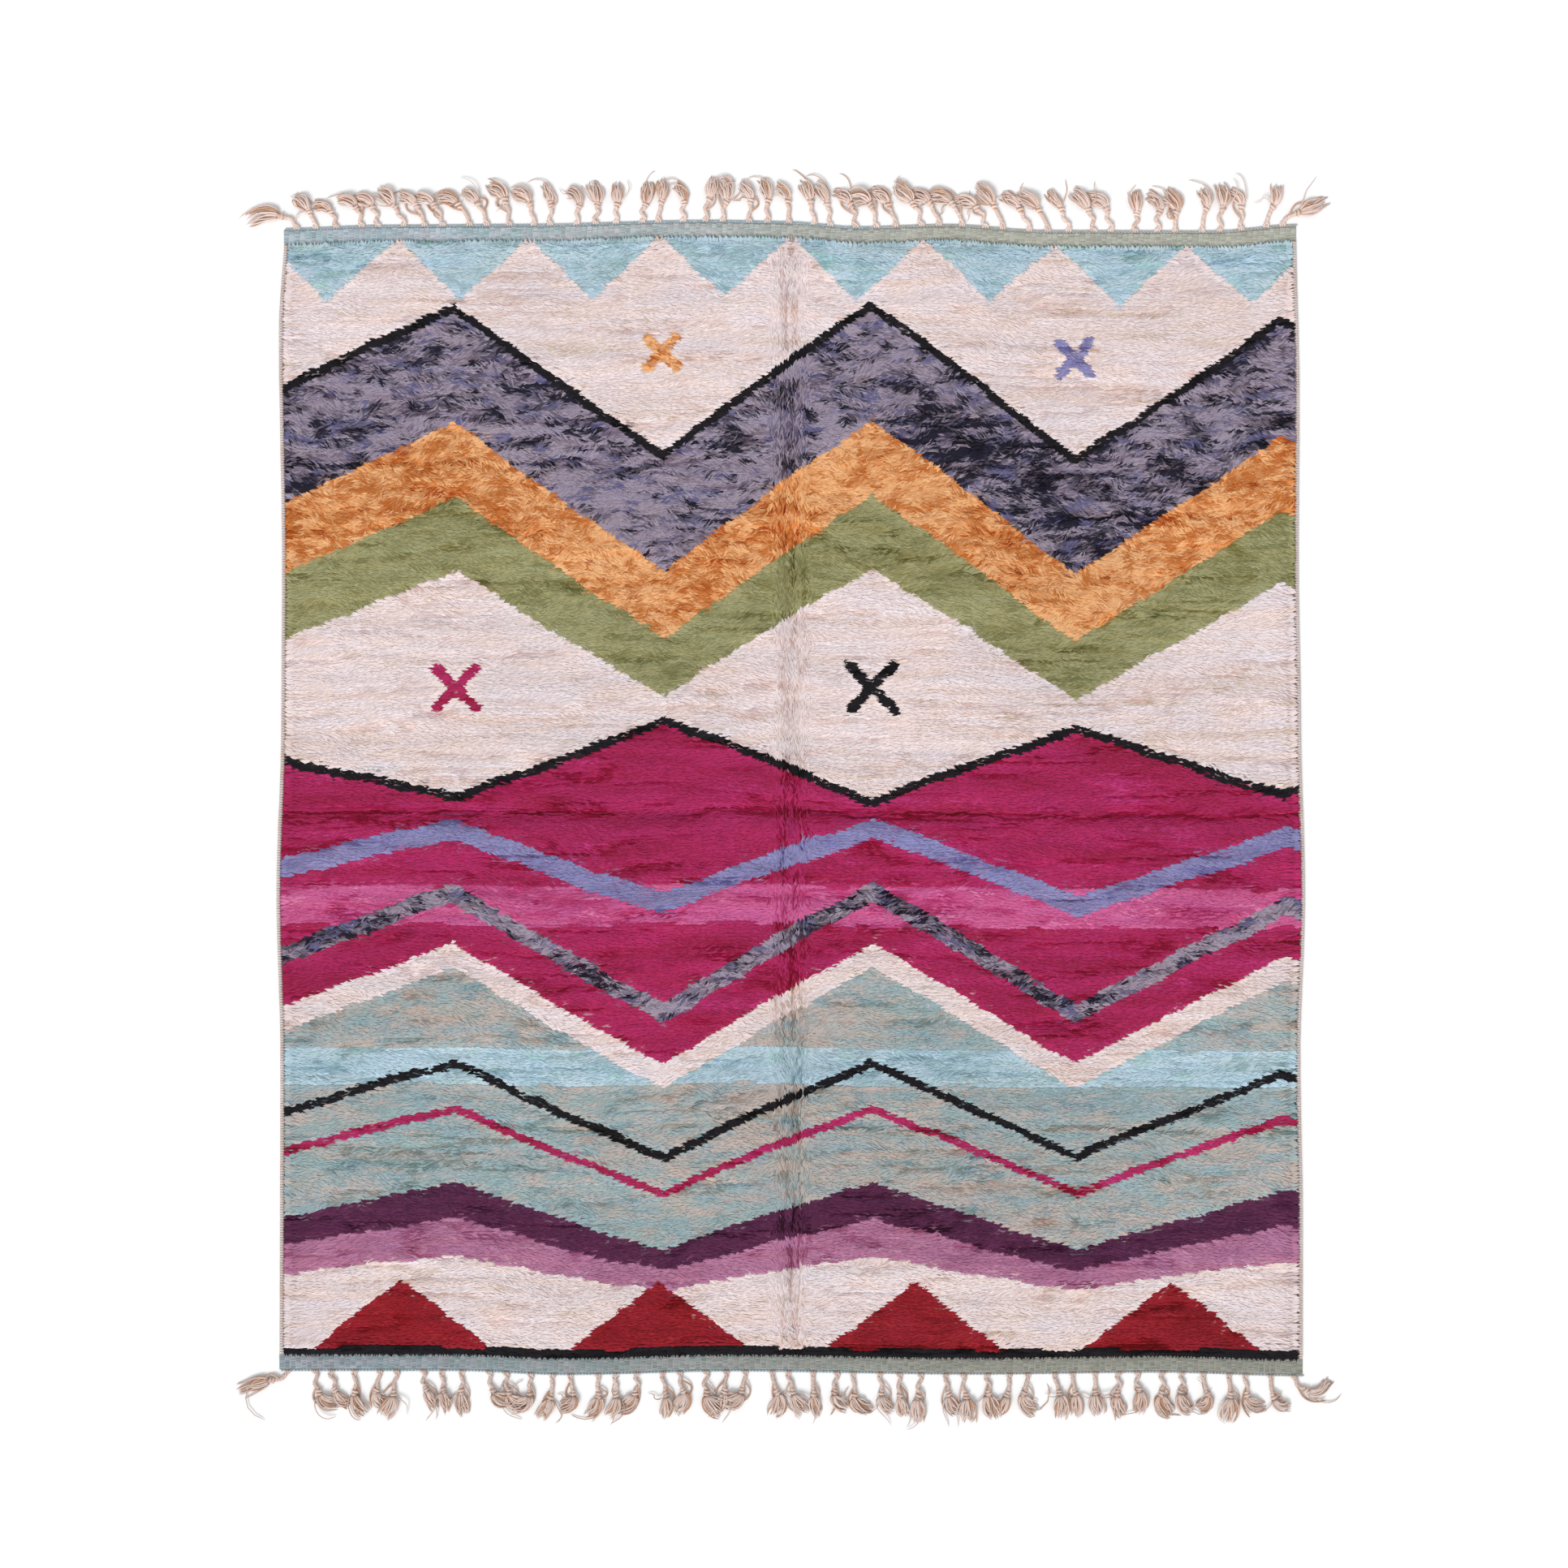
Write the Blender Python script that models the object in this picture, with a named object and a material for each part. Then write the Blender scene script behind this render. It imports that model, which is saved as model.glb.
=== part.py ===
"""A hand-knotted wool pile rug lying flat, with woven end bands, overcast side edges
and a knotted fringe at both ends.  Metres, +Z up.  The origin is on the floor under the
middle of the rug, X runs across it and Y along it."""
import math

import bmesh
import bpy
from mathutils import Vector, noise

# Sizes of the rug as it lies, without its fringes.
RUG_WIDTH = 2.50
RUG_LENGTH = 2.80
PARTING = 0.0005
SHARP_EDGE = math.radians(40)

# Flat-woven band at each end.
BAND_WIDTH = 0.036
BAND_THICKNESS = 0.0045
BAND_CROWN = 0.0006

# Overcast edge along each side.
SELVEDGE_RADIUS = 0.006
SELVEDGE_BEVEL_STEPS = 1

# Knotted pile on its ground weave.
PILE_HEIGHT = 0.0185
PILE_RIM_HEIGHT = 0.0115
PILE_RIM_WIDTH = 0.014
# Lumps in the pile: waves to the metre, height, and the place read in the noise.
LUMPS = ((3.6, 0.0022, 0.4), (8.3, 0.0011, 7.1))
ROW_PITCH = 0.084
SAME_LINE = 0.001

# Fringe: one tassel in each bay across the rug, growing out of a narrow twined strip.
TASSEL_COUNT = 47
TWINING_DEPTH = 0.006
TWINING_HEIGHT = 0.004
CORD_WIDTH = 0.0100
SPINE_STEPS = 24
# Unevenness from tassel to tassel: how far, and the turn of its wave from bay to bay.
ROOT_WANDER, ROOT_TURN = 0.007, 2.4
LEAN_WANDER, LEAN_TURN = 6.0, 1.9
REACH_WANDER, REACH_TURN = 0.010, 2.7
# Shares of a tassel's length at which its lean and its hook start and are complete.
LEAN_FROM, LEAN_TO = -0.12, 0.30
HOOK_FROM, HOOK_TO = 0.35, 0.85
TASSEL_CLEARANCE = 0.003
TURN_STEPS = 20

# How far each edge stands outside the plain rectangle: place along the edge, distance.
TOP_EDGE = (
    (-1.25, -0.007), (-1.00, 0.001), (-0.66, 0.003), (-0.19, 0.013), (-0.01, 0.010),
    (0.17, -0.003), (0.39, 0.003), (0.63, -0.012), (1.05, -0.013), (1.25, 0.003),
)
BOTTOM_EDGE = (
    (-1.25, -0.006), (-0.82, -0.006), (-0.55, 0.004), (-0.15, -0.005), (0.45, 0.003),
    (0.90, -0.002), (1.25, 0.007),
)
LEFT_EDGE = (
    (-1.40, 0.001), (-0.63, -0.001), (-0.23, 0.009), (0.17, -0.003), (0.57, -0.005),
    (1.16, 0.003), (1.40, -0.011),
)
RIGHT_EDGE = (
    (-1.40, 0.005), (-1.02, 0.005), (-0.63, -0.001), (-0.23, 0.011), (0.17, 0.001),
    (0.57, -0.005), (1.00, -0.003), (1.40, -0.011),
)

# Creases left by folding: the axis they run along, their place on the other axis,
# where they start and end, their depth and their half width.
FOLDS = (
    ("Y", 0.000, -1.40, 1.40, 0.0050, RUG_WIDTH / TASSEL_COUNT / 2),
    ("X", -0.038, -1.25, 1.25, 0.0050, 0.020),
    ("X", 0.820, -1.25, 0.15, 0.0030, 0.018),
    ("X", 0.700, -0.20, 1.25, 0.0026, 0.018),
    ("X", -0.806, -0.70, 1.25, 0.0026, 0.018),
)
FOLD_FADE = 0.12

# Tassels along each end: place across the rug, lean from straight out (degrees, towards
# +X), hook added towards the tip (degrees) and length of the tassel.
TOP_TASSELS = (
    (-1.215, -78, 6, 0.130), (-1.165, -24, -40, 0.105), (-1.02, -32, -34, 0.110),
    (-0.94, -38, -20, 0.140), (-0.78, -38, -24, 0.150), (-0.66, -16, -46, 0.145),
    (-0.58, 4, 4, 0.120), (-0.42, 10, -20, 0.110), (-0.20, 12, 30, 0.125),
    (-0.06, 0, -30, 0.130), (0.02, -20, -46, 0.140), (0.14, -32, -34, 0.140),
    (0.36, -36, -22, 0.145), (0.56, -36, -24, 0.145), (0.70, -32, -38, 0.145),
    (0.84, 0, -10, 0.120), (0.90, 6, 34, 0.110), (1.02, 14, 8, 0.140),
    (1.12, -8, 24, 0.140), (1.165, 24, 24, 0.120), (1.215, 66, 8, 0.140),
)
BOTTOM_TASSELS = (
    (-1.215, -76, 14, 0.125), (-1.165, 17, 4, 0.135), (-1.10, 4, 0, 0.125), (-0.940, -16, -4, 0.135),
    (-0.920, 15, 5, 0.120), (-0.795, -14, -4, 0.125), (-0.775, 16, 5, 0.130), (-0.565, -15, -5, 0.135),
    (-0.545, 15, 4, 0.125), (-0.335, -16, -5, 0.130), (-0.315, 16, 5, 0.130), (-0.095, -15, -5, 0.125),
    (-0.075, 16, 6, 0.130), (0.140, -16, -5, 0.135), (0.160, 15, 4, 0.130), (0.350, -15, -5, 0.140),
    (0.370, 16, 5, 0.130), (0.580, -16, -5, 0.125), (0.600, 16, 5, 0.120), (0.820, -15, -6, 0.125),
    (0.840, 14, 5, 0.115), (0.965, -13, -4, 0.125), (0.985, 16, 5, 0.130), (1.165, 2, 6, 0.130),
    (1.215, 62, 10, 0.135),
)

# Sections along a tassel: share of its length, width and height.
CORD_SECTIONS = (
    (0.16, 0.0105, 0.0080), (0.44, 0.0098, 0.0080), (0.55, 0.0190, 0.0135), (0.65, 0.0180, 0.0130),
    (0.70, 0.0150, 0.0090),
)
# Sections along each of its two tails: share of length, distance from the middle line,
# width and height.
TAIL_SECTIONS = ((0.84, 0.0070, 0.0105, 0.0075), (1.00, 0.0095, 0.0055, 0.0040))

# Finishes: colour, roughness.
PILE_WOOL = ((0.62, 0.55, 0.54, 1.0), 0.95)
BAND_WOOL = ((0.34, 0.40, 0.42, 1.0), 0.92)
SELVEDGE_WOOL = ((0.58, 0.44, 0.35, 1.0), 0.92)
FRINGE_WOOL = ((0.58, 0.42, 0.33, 1.0), 0.90)

HALF_WIDTH = RUG_WIDTH / 2
HALF_LENGTH = RUG_LENGTH / 2
FIELD_HALF_WIDTH = HALF_WIDTH - 2 * SELVEDGE_RADIUS - PARTING
FIELD_HALF_LENGTH = HALF_LENGTH - BAND_WIDTH - PARTING
BAY_WIDTH = RUG_WIDTH / TASSEL_COUNT


def ease(t):
    """Smooth rise from 0 at t = 0 to 1 at t = 1."""
    t = min(max(t, 0.0), 1.0)
    return t * t * (3 - 2 * t)


def follow(table, place):
    """Smoothly read a table's rows at a place; gives the row's other columns."""
    if place <= table[0][0]:
        return table[0][1:]
    for low, high in zip(table, table[1:]):
        if place <= high[0]:
            share = ease((place - low[0]) / (high[0] - low[0]))
            return tuple(a + (b - a) * share for a, b in zip(low[1:], high[1:]))
    return table[-1][1:]


def even_lines(half, count):
    """Evenly spaced places from one edge to the other."""
    return [-half + 2 * half * i / count for i in range(count + 1)]


def grid_lines(half, even, clear, fold_axis):
    """Grid lines along one axis: the rim's and the creases' own, and the even ones clear of them."""
    own = [-half, -half + PILE_RIM_WIDTH, half - PILE_RIM_WIDTH, half]
    for axis, at, start, end, depth, half_width in FOLDS:
        if axis == fold_axis:
            own += [at - half_width, at, at + half_width]
    kept = [e for e in even if abs(e) < half and min(abs(e - c) for c in own) > clear]
    return sorted(own + kept)


BAY_EDGES = even_lines(HALF_WIDTH, TASSEL_COUNT)
ROW_EDGES = grid_lines(
    FIELD_HALF_LENGTH,
    even_lines(FIELD_HALF_LENGTH, round(2 * FIELD_HALF_LENGTH / ROW_PITCH)),
    ROW_PITCH / 3,
    "X",
)
COLUMN_EDGES = grid_lines(FIELD_HALF_WIDTH, BAY_EDGES, SAME_LINE, "Y")


def edge_offset(table, corners, place):
    """An edge's distance outside the rectangle, straight between the shared grid lines."""
    place = min(max(place, corners[0]), corners[-1])
    for low, high in zip(corners, corners[1:]):
        if place <= high:
            share = (place - low) / (high - low)
            a = follow(table, low)[0]
            b = follow(table, high)[0]
            return a + (b - a) * share
    return follow(table, corners[-1])[0]


def lie(x, y):
    """Where a point of the plain rectangle lies on the floor, with the edges' slow waves."""
    across = (x / HALF_WIDTH + 1) / 2
    along = (y / HALF_LENGTH + 1) / 2
    left = edge_offset(LEFT_EDGE, ROW_EDGES, y)
    right = edge_offset(RIGHT_EDGE, ROW_EDGES, y)
    bottom = edge_offset(BOTTOM_EDGE, BAY_EDGES, x)
    top = edge_offset(TOP_EDGE, BAY_EDGES, x)
    return x - left * (1 - across) + right * across, y - bottom * (1 - along) + top * along


def fold_depth(x, y):
    """How far the creases press the pile down at a place."""
    depth = 0.0
    for axis, at, start, end, fold, half_width in FOLDS:
        across, along = (x, y) if axis == "Y" else (y, x)
        off = abs(across - at) / half_width
        fade = ease((along - start) / FOLD_FADE) * ease((end - along) / FOLD_FADE)
        depth += fold * fade * max(0.0, 1 - off)
    return depth


def pile_top(x, y):
    """Height of the pile: full inside the rim, lumpy, and pressed in at the creases."""
    inside = min(FIELD_HALF_WIDTH - abs(x), FIELD_HALF_LENGTH - abs(y)) / PILE_RIM_WIDTH
    height = PILE_RIM_HEIGHT + (PILE_HEIGHT - PILE_RIM_HEIGHT) * min(inside, 1.0)
    for waves, lump, layer in LUMPS:
        height += lump * noise.noise(Vector((x * waves, y * waves, layer)))
    return height - fold_depth(x, y) * (1 + min(inside, 1.0)) / 2


def wool(name, finish):
    """A matt material in one wool's colour."""
    colour, roughness = finish
    material = bpy.data.materials.new(name)
    material.use_nodes = True
    shader = material.node_tree.nodes["Principled BSDF"]
    shader.inputs["Base Color"].default_value = colour
    shader.inputs["Roughness"].default_value = roughness
    shader.inputs["Metallic"].default_value = 0.0
    return material


def add_mesh(name, bm, material, collection):
    """Turn a finished bmesh into an object of the rug."""
    bmesh.ops.recalc_face_normals(bm, faces=bm.faces[:])
    mesh = bpy.data.meshes.new(name)
    bm.to_mesh(mesh)
    bm.free()
    mesh.shade_smooth()
    mesh.set_sharp_from_angle(angle=SHARP_EDGE)
    mesh.materials.append(material)
    obj = bpy.data.objects.new(name, mesh)
    collection.objects.link(obj)
    return obj


def slab(columns, rows, top_of):
    """A closed slab on the floor over the given grid lines; its underside is one flat face."""
    bm = bmesh.new()
    x_steps = len(columns) - 1
    y_steps = len(rows) - 1
    bmesh.ops.create_grid(bm, x_segments=x_steps, y_segments=y_steps, size=0.5)
    underside = bm.faces[:]
    raised = bmesh.ops.extrude_face_region(bm, geom=underside)["geom"]
    bmesh.ops.translate(bm, vec=(0, 0, 1), verts=[g for g in raised if isinstance(g, bmesh.types.BMVert)])
    bmesh.ops.dissolve_faces(bm, faces=underside)
    for vert in bm.verts:
        x = columns[round((vert.co.x + 0.5) * x_steps)]
        y = rows[round((vert.co.y + 0.5) * y_steps)]
        lies_x, lies_y = lie(x, y)
        vert.co = (lies_x, lies_y, top_of(x, y) if vert.co.z > 0.5 else 0.0)
    return bm


def pile_field(collection, material):
    """The knotted pile with its ground weave: one lumpy slab, flat underneath."""
    return add_mesh("pile_field", slab(COLUMN_EDGES, ROW_EDGES, pile_top), material, collection)


def end_band(name, side, collection, material):
    """A flat-woven band across one end, a little thicker along its middle."""
    inner = side * (HALF_LENGTH - BAND_WIDTH)
    outer = side * HALF_LENGTH
    rows = sorted((inner, (inner + outer) / 2, outer))

    def top_of(x, y):
        return BAND_THICKNESS + (BAND_CROWN if y == rows[1] else 0.0)

    return add_mesh(name, slab(BAY_EDGES, rows, top_of), material, collection)


def selvedge(name, side, collection, material):
    """The overcast edge along one side: a round cord of wool wraps."""
    curve = bpy.data.curves.new(name, "CURVE")
    curve.dimensions = "3D"
    curve.bevel_depth = SELVEDGE_RADIUS
    curve.bevel_resolution = SELVEDGE_BEVEL_STEPS
    curve.use_fill_caps = True
    spline = curve.splines.new("POLY")
    spline.points.add(len(ROW_EDGES) - 1)
    middle = side * (HALF_WIDTH - SELVEDGE_RADIUS)
    for point, y in zip(spline.points, ROW_EDGES):
        lies_x, lies_y = lie(middle, y)
        point.co = (lies_x, lies_y, SELVEDGE_RADIUS, 1.0)
    curve.materials.append(material)
    obj = bpy.data.objects.new(name, curve)
    collection.objects.link(obj)
    return obj


def tassel_spine(root, side, lean, hook, reach):
    """Points and headings along a tassel: straight out, then leaning, then hooked."""
    x, y = root
    spine = [(x, y, 0.0)]
    for step in range(SPINE_STEPS):
        share = (step + 0.5) / SPINE_STEPS
        turned = lean * ease((share - LEAN_FROM) / (LEAN_TO - LEAN_FROM))
        turned += hook * ease((share - HOOK_FROM) / (HOOK_TO - HOOK_FROM))
        heading = math.radians(turned)
        x += math.sin(heading) * reach / SPINE_STEPS
        y += side * math.cos(heading) * reach / SPINE_STEPS
        spine.append((x, y, heading))
    return spine


def half_width(share):
    """Half the width that a tassel takes up at a share of its length."""
    outline = [(0.0, CORD_WIDTH / 2)]
    outline += [(section[0], section[1] / 2) for section in CORD_SECTIONS]
    outline += [(section[0], section[1] + section[2] / 2) for section in TAIL_SECTIONS]
    for low, high in zip(outline, outline[1:]):
        if share <= high[0]:
            return low[1] + (high[1] - low[1]) * (share - low[0]) / (high[0] - low[0])
    return outline[-1][1]


HALF_WIDTHS = [half_width(step / SPINE_STEPS) for step in range(SPINE_STEPS + 1)]


def lie_clear(spine, other):
    """True where two tassels lie apart all along."""
    for (x, y, heading), half in zip(spine, HALF_WIDTHS):
        for (other_x, other_y, other_heading), other_half in zip(other, HALF_WIDTHS):
            if math.hypot(x - other_x, y - other_y) < half + other_half + TASSEL_CLEARANCE:
                return False
    return True


def root_place(bay, side):
    """Where a bay's tassel starts, across the rug."""
    return (BAY_EDGES[bay] + BAY_EDGES[bay + 1]) / 2 + ROOT_WANDER * math.sin(ROOT_TURN * bay + side)


def lay_tassels(side, table, outer):
    """The spines along one end; each turns towards its left neighbour's lean until it lies clear."""
    spines = []
    shape = follow(table, -HALF_WIDTH)
    for bay in range(TASSEL_COUNT):
        before = shape
        place = root_place(bay, side)
        lean, hook, reach = follow(table, place)
        lean += LEAN_WANDER * math.sin(LEAN_TURN * bay + 2 * side)
        reach += REACH_WANDER * math.sin(REACH_TURN * bay)
        for turn in range(TURN_STEPS + 1):
            share = turn / TURN_STEPS
            shape = tuple(own + (left - own) * share for own, left in zip((lean, hook, reach), before))
            spine = tassel_spine(lie(place, outer), side, *shape)
            if all(lie_clear(spine, other) for other in spines[-3:]):
                break
        spines.append(spine)
    return spines


def frame_at(spine, side, share):
    """Middle line and sideways direction of a tassel at a share of its length."""
    place = share * SPINE_STEPS
    low = min(int(place), SPINE_STEPS - 1)
    part = place - low
    x, y, heading = (a + (b - a) * part for a, b in zip(spine[low], spine[low + 1]))
    return Vector((x, y, 0.0)), Vector((side * math.cos(heading), -math.sin(heading), 0.0))


def grow(bm, face, middle, sideways, width, height):
    """Extrude one four-sided face to a new section that stands on the floor."""
    start = face.calc_center_median()
    new_face = bmesh.ops.extrude_discrete_faces(bm, faces=[face])["faces"][0]
    for vert in new_face.verts:
        offset = vert.co - start
        across = 1 if offset.dot(sideways) > 0 else -1
        z = height if offset.z > 0 else 0.0
        vert.co = middle + sideways * (across * width / 2) + Vector((0.0, 0.0, z))
    return new_face


def split_end(bm, face):
    """Cut a tassel's end face down its middle and give both halves."""
    level = [e for e in face.edges if abs(e.verts[0].co.z - e.verts[1].co.z) < 1e-6]
    cut = bmesh.ops.subdivide_edges(bm, edges=level, cuts=1)
    fresh = [g for g in cut["geom_inner"] if isinstance(g, bmesh.types.BMEdge)]
    upright = [e for e in fresh if abs(e.verts[0].co.z - e.verts[1].co.z) > 1e-4]
    return list(upright[0].link_faces)


def grow_tassel(bm, face, side, spine):
    """Cord, knot and two tails of one tassel, grown from a face of the twined strip."""
    for share, width, height in CORD_SECTIONS:
        middle, sideways = frame_at(spine, side, share)
        face = grow(bm, face, middle, sideways, width, height)
    start = face.calc_center_median()
    for half in split_end(bm, face):
        outward = 1 if (half.calc_center_median() - start).dot(sideways) > 0 else -1
        for share, apart, width, height in TAIL_SECTIONS:
            middle, across = frame_at(spine, side, share)
            half = grow(bm, half, middle + across * (outward * apart), across, width, height)


def fringe(name, side, table, collection, material):
    """A narrow twined strip along one end with a tassel in each bay."""
    columns = [BAY_EDGES[0]]
    for bay in range(TASSEL_COUNT):
        root = root_place(bay, side)
        columns += [root - CORD_WIDTH / 2, root + CORD_WIDTH / 2, BAY_EDGES[bay + 1]]
    inner = side * (HALF_LENGTH + PARTING)
    outer = side * (HALF_LENGTH + PARTING + TWINING_DEPTH)
    bm = slab(columns, sorted((inner, outer)), lambda x, y: TWINING_HEIGHT)
    bm.normal_update()
    ends = [f for f in bm.faces if f.normal.y * side > 0.9]
    ends.sort(key=lambda f: f.calc_center_median().x)
    for face, spine in zip(ends[1::3], lay_tassels(side, table, outer)):
        grow_tassel(bm, face, side, spine)
    return add_mesh(name, bm, material, collection)


def build():
    """Clear the scene and make every piece of the rug."""
    for obj in list(bpy.data.objects):
        bpy.data.objects.remove(obj, do_unlink=True)
    rug = bpy.data.collections.new("berber_rug")
    bpy.context.scene.collection.children.link(rug)
    pile_field(rug, wool("pile_wool", PILE_WOOL))
    band_wool = wool("band_wool", BAND_WOOL)
    end_band("end_band_top", 1, rug, band_wool)
    end_band("end_band_bottom", -1, rug, band_wool)
    edge_wool = wool("selvedge_wool", SELVEDGE_WOOL)
    selvedge("selvedge_left", -1, rug, edge_wool)
    selvedge("selvedge_right", 1, rug, edge_wool)
    fringe_wool = wool("fringe_wool", FRINGE_WOOL)
    fringe("fringe_top", 1, TOP_TASSELS, rug, fringe_wool)
    fringe("fringe_bottom", -1, BOTTOM_TASSELS, rug, fringe_wool)


build()
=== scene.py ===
"""Looks of a hand-knotted wool pile rug: cut pile, flat-woven end bands, overcast side
edges and a knotted fringe at both ends.  Metres, +Z up, in the frame of its solids."""
import math

import bpy
import numpy as np
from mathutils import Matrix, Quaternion, Vector, noise


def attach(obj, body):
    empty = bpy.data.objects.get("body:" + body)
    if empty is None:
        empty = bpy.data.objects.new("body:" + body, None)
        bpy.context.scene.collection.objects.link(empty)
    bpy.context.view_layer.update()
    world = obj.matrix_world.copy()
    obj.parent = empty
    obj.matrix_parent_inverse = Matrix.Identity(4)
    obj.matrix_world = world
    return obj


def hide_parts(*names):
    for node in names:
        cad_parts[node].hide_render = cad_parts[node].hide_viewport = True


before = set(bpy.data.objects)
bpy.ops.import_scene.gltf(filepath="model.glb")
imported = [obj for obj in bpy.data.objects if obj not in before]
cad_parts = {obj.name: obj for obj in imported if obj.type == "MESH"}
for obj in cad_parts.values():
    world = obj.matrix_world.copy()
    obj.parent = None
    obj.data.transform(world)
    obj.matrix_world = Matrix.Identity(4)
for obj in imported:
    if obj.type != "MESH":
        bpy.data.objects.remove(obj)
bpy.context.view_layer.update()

# Sizes of the rug as it lies, without its fringes, and how far its pieces lie apart.
RUG_WIDTH = 2.50
RUG_LENGTH = 2.80
PARTING = 0.0005
BAND_WIDTH = 0.036
SELVEDGE_RADIUS = 0.006
PILE_HEIGHT = 0.0185
PILE_RIM_HEIGHT = 0.0115
PILE_RIM_WIDTH = 0.014
# Lumps in the pile: waves to the metre, height, and the place read in the noise.
LUMPS = ((3.6, 0.0022, 0.4), (8.3, 0.0011, 7.1))
# Distance between the even lines that cross the solids.
ROW_PITCH = 0.084

# Fringe: one tassel in each bay across the rug, growing out of a narrow twined strip.
TASSEL_COUNT = 47
TWINING_DEPTH = 0.006
CORD_WIDTH = 0.0100
SPINE_STEPS = 24
# Wander of the roots, leans (degrees) and lengths, each with its turn from bay to bay.
ROOT_WANDER, ROOT_TURN = 0.007, 2.4
LEAN_WANDER, LEAN_TURN = 6.0, 1.9
REACH_WANDER, REACH_TURN = 0.010, 2.7
# Where a tassel starts and ends to lean and to hook, in shares of its length.
LEAN_FROM, LEAN_TO = -0.12, 0.30
HOOK_FROM, HOOK_TO = 0.35, 0.85
# Least distance between tassels, and the steps in which one turns until it lies clear.
TASSEL_CLEARANCE = 0.003
TURN_STEPS = 20

# How far each edge stands outside the plain rectangle: place along the edge, distance.
TOP_EDGE = (
    (-1.25, -0.007), (-1.00, 0.001), (-0.66, 0.003), (-0.19, 0.013), (-0.01, 0.010),
    (0.17, -0.003), (0.39, 0.003), (0.63, -0.012), (1.05, -0.013), (1.25, 0.003),
)
BOTTOM_EDGE = (
    (-1.25, -0.006), (-0.82, -0.006), (-0.55, 0.004), (-0.15, -0.005), (0.45, 0.003),
    (0.90, -0.002), (1.25, 0.007),
)
LEFT_EDGE = (
    (-1.40, 0.001), (-0.63, -0.001), (-0.23, 0.009), (0.17, -0.003), (0.57, -0.005),
    (1.16, 0.003), (1.40, -0.011),
)
RIGHT_EDGE = (
    (-1.40, 0.005), (-1.02, 0.005), (-0.63, -0.001), (-0.23, 0.011), (0.17, 0.001),
    (0.57, -0.005), (1.00, -0.003), (1.40, -0.011),
)

# Creases left by folding: the axis they run along, their place on the other axis,
# where they start and end, their depth and their half width.
FOLDS = (
    ("Y", 0.000, -1.40, 1.40, 0.0050, RUG_WIDTH / TASSEL_COUNT / 2),
    ("X", -0.038, -1.25, 1.25, 0.0050, 0.020),
    ("X", 0.820, -1.25, 0.15, 0.0030, 0.018),
    ("X", 0.700, -0.20, 1.25, 0.0026, 0.018),
    ("X", -0.806, -0.70, 1.25, 0.0026, 0.018),
)
# Over what length a crease fades at its ends.
FOLD_FADE = 0.12

# Tassels along each end: place across the rug, lean from straight out (degrees, towards
# +X), hook added towards the tip (degrees) and length of the tassel.
TOP_TASSELS = (
    (-1.215, -78, 6, 0.130), (-1.165, -24, -40, 0.105), (-1.02, -32, -34, 0.110),
    (-0.94, -38, -20, 0.140), (-0.78, -38, -24, 0.150), (-0.66, -16, -46, 0.145),
    (-0.58, 4, 4, 0.120), (-0.42, 10, -20, 0.110), (-0.20, 12, 30, 0.125),
    (-0.06, 0, -30, 0.130), (0.02, -20, -46, 0.140), (0.14, -32, -34, 0.140),
    (0.36, -36, -22, 0.145), (0.56, -36, -24, 0.145), (0.70, -32, -38, 0.145),
    (0.84, 0, -10, 0.120), (0.90, 6, 34, 0.110), (1.02, 14, 8, 0.140),
    (1.12, -8, 24, 0.140), (1.165, 24, 24, 0.120), (1.215, 66, 8, 0.140),
)
BOTTOM_TASSELS = (
    (-1.215, -76, 14, 0.125), (-1.165, 17, 4, 0.135), (-1.10, 4, 0, 0.125),
    (-0.940, -16, -4, 0.135), (-0.920, 15, 5, 0.120), (-0.795, -14, -4, 0.125),
    (-0.775, 16, 5, 0.130), (-0.565, -15, -5, 0.135), (-0.545, 15, 4, 0.125),
    (-0.335, -16, -5, 0.130), (-0.315, 16, 5, 0.130), (-0.095, -15, -5, 0.125),
    (-0.075, 16, 6, 0.130), (0.140, -16, -5, 0.135), (0.160, 15, 4, 0.130),
    (0.350, -15, -5, 0.140), (0.370, 16, 5, 0.130), (0.580, -16, -5, 0.125),
    (0.600, 16, 5, 0.120), (0.820, -15, -6, 0.125), (0.840, 14, 5, 0.115),
    (0.965, -13, -4, 0.125), (0.985, 16, 5, 0.130), (1.165, 2, 6, 0.130),
    (1.215, 62, 10, 0.135),
)
# Outline of a tassel: share of its length and width along the cord and the knot, then
# share of its length, distance from the middle and width along each tail.
CORD_SECTIONS = ((0.16, 0.0105), (0.44, 0.0098), (0.55, 0.0190), (0.65, 0.0180), (0.70, 0.0150))
TAIL_SECTIONS = ((0.84, 0.0070, 0.0105), (1.00, 0.0095, 0.0055))

HALF_WIDTH = RUG_WIDTH / 2
HALF_LENGTH = RUG_LENGTH / 2
FIELD_HALF_WIDTH = HALF_WIDTH - 2 * SELVEDGE_RADIUS - PARTING
FIELD_HALF_LENGTH = HALF_LENGTH - BAND_WIDTH - PARTING

# Ground cloth under the pile.
GROUND_THICKNESS = 0.0022
GROUND_COLUMNS, GROUND_ROWS = 40, 44

# Packed lower pile: how far under the pile's top it lies, and how much further at the rim and in a
# crease, its roughness, and the painted shade that darkens its colours between the locks.
BED_DEPTH, BED_RIM_DEPTH, BED_CREASE_DEPTH = 0.0034, 0.0024, 0.0022
BED_ROUGHNESS = 0.0005
BED_PAINTED_SHADE = 0.92
BED_COLUMNS, BED_ROWS = 118, 101

# Distance between the rows of knots.
KNOT_ROW = 0.009
# Locks of wool that lie over them: distance between their rows and along a row, length,
# half width, thickness and height of the root where the pile is full and flat.
LOCK_ROW = 0.0076
LOCK_PITCH = 0.0057
LOCK_REACH = 0.031
LOCK_WIDTH = 0.0038
LOCK_THICKNESS = 0.0020
LOCK_ROOT = 0.0138
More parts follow.
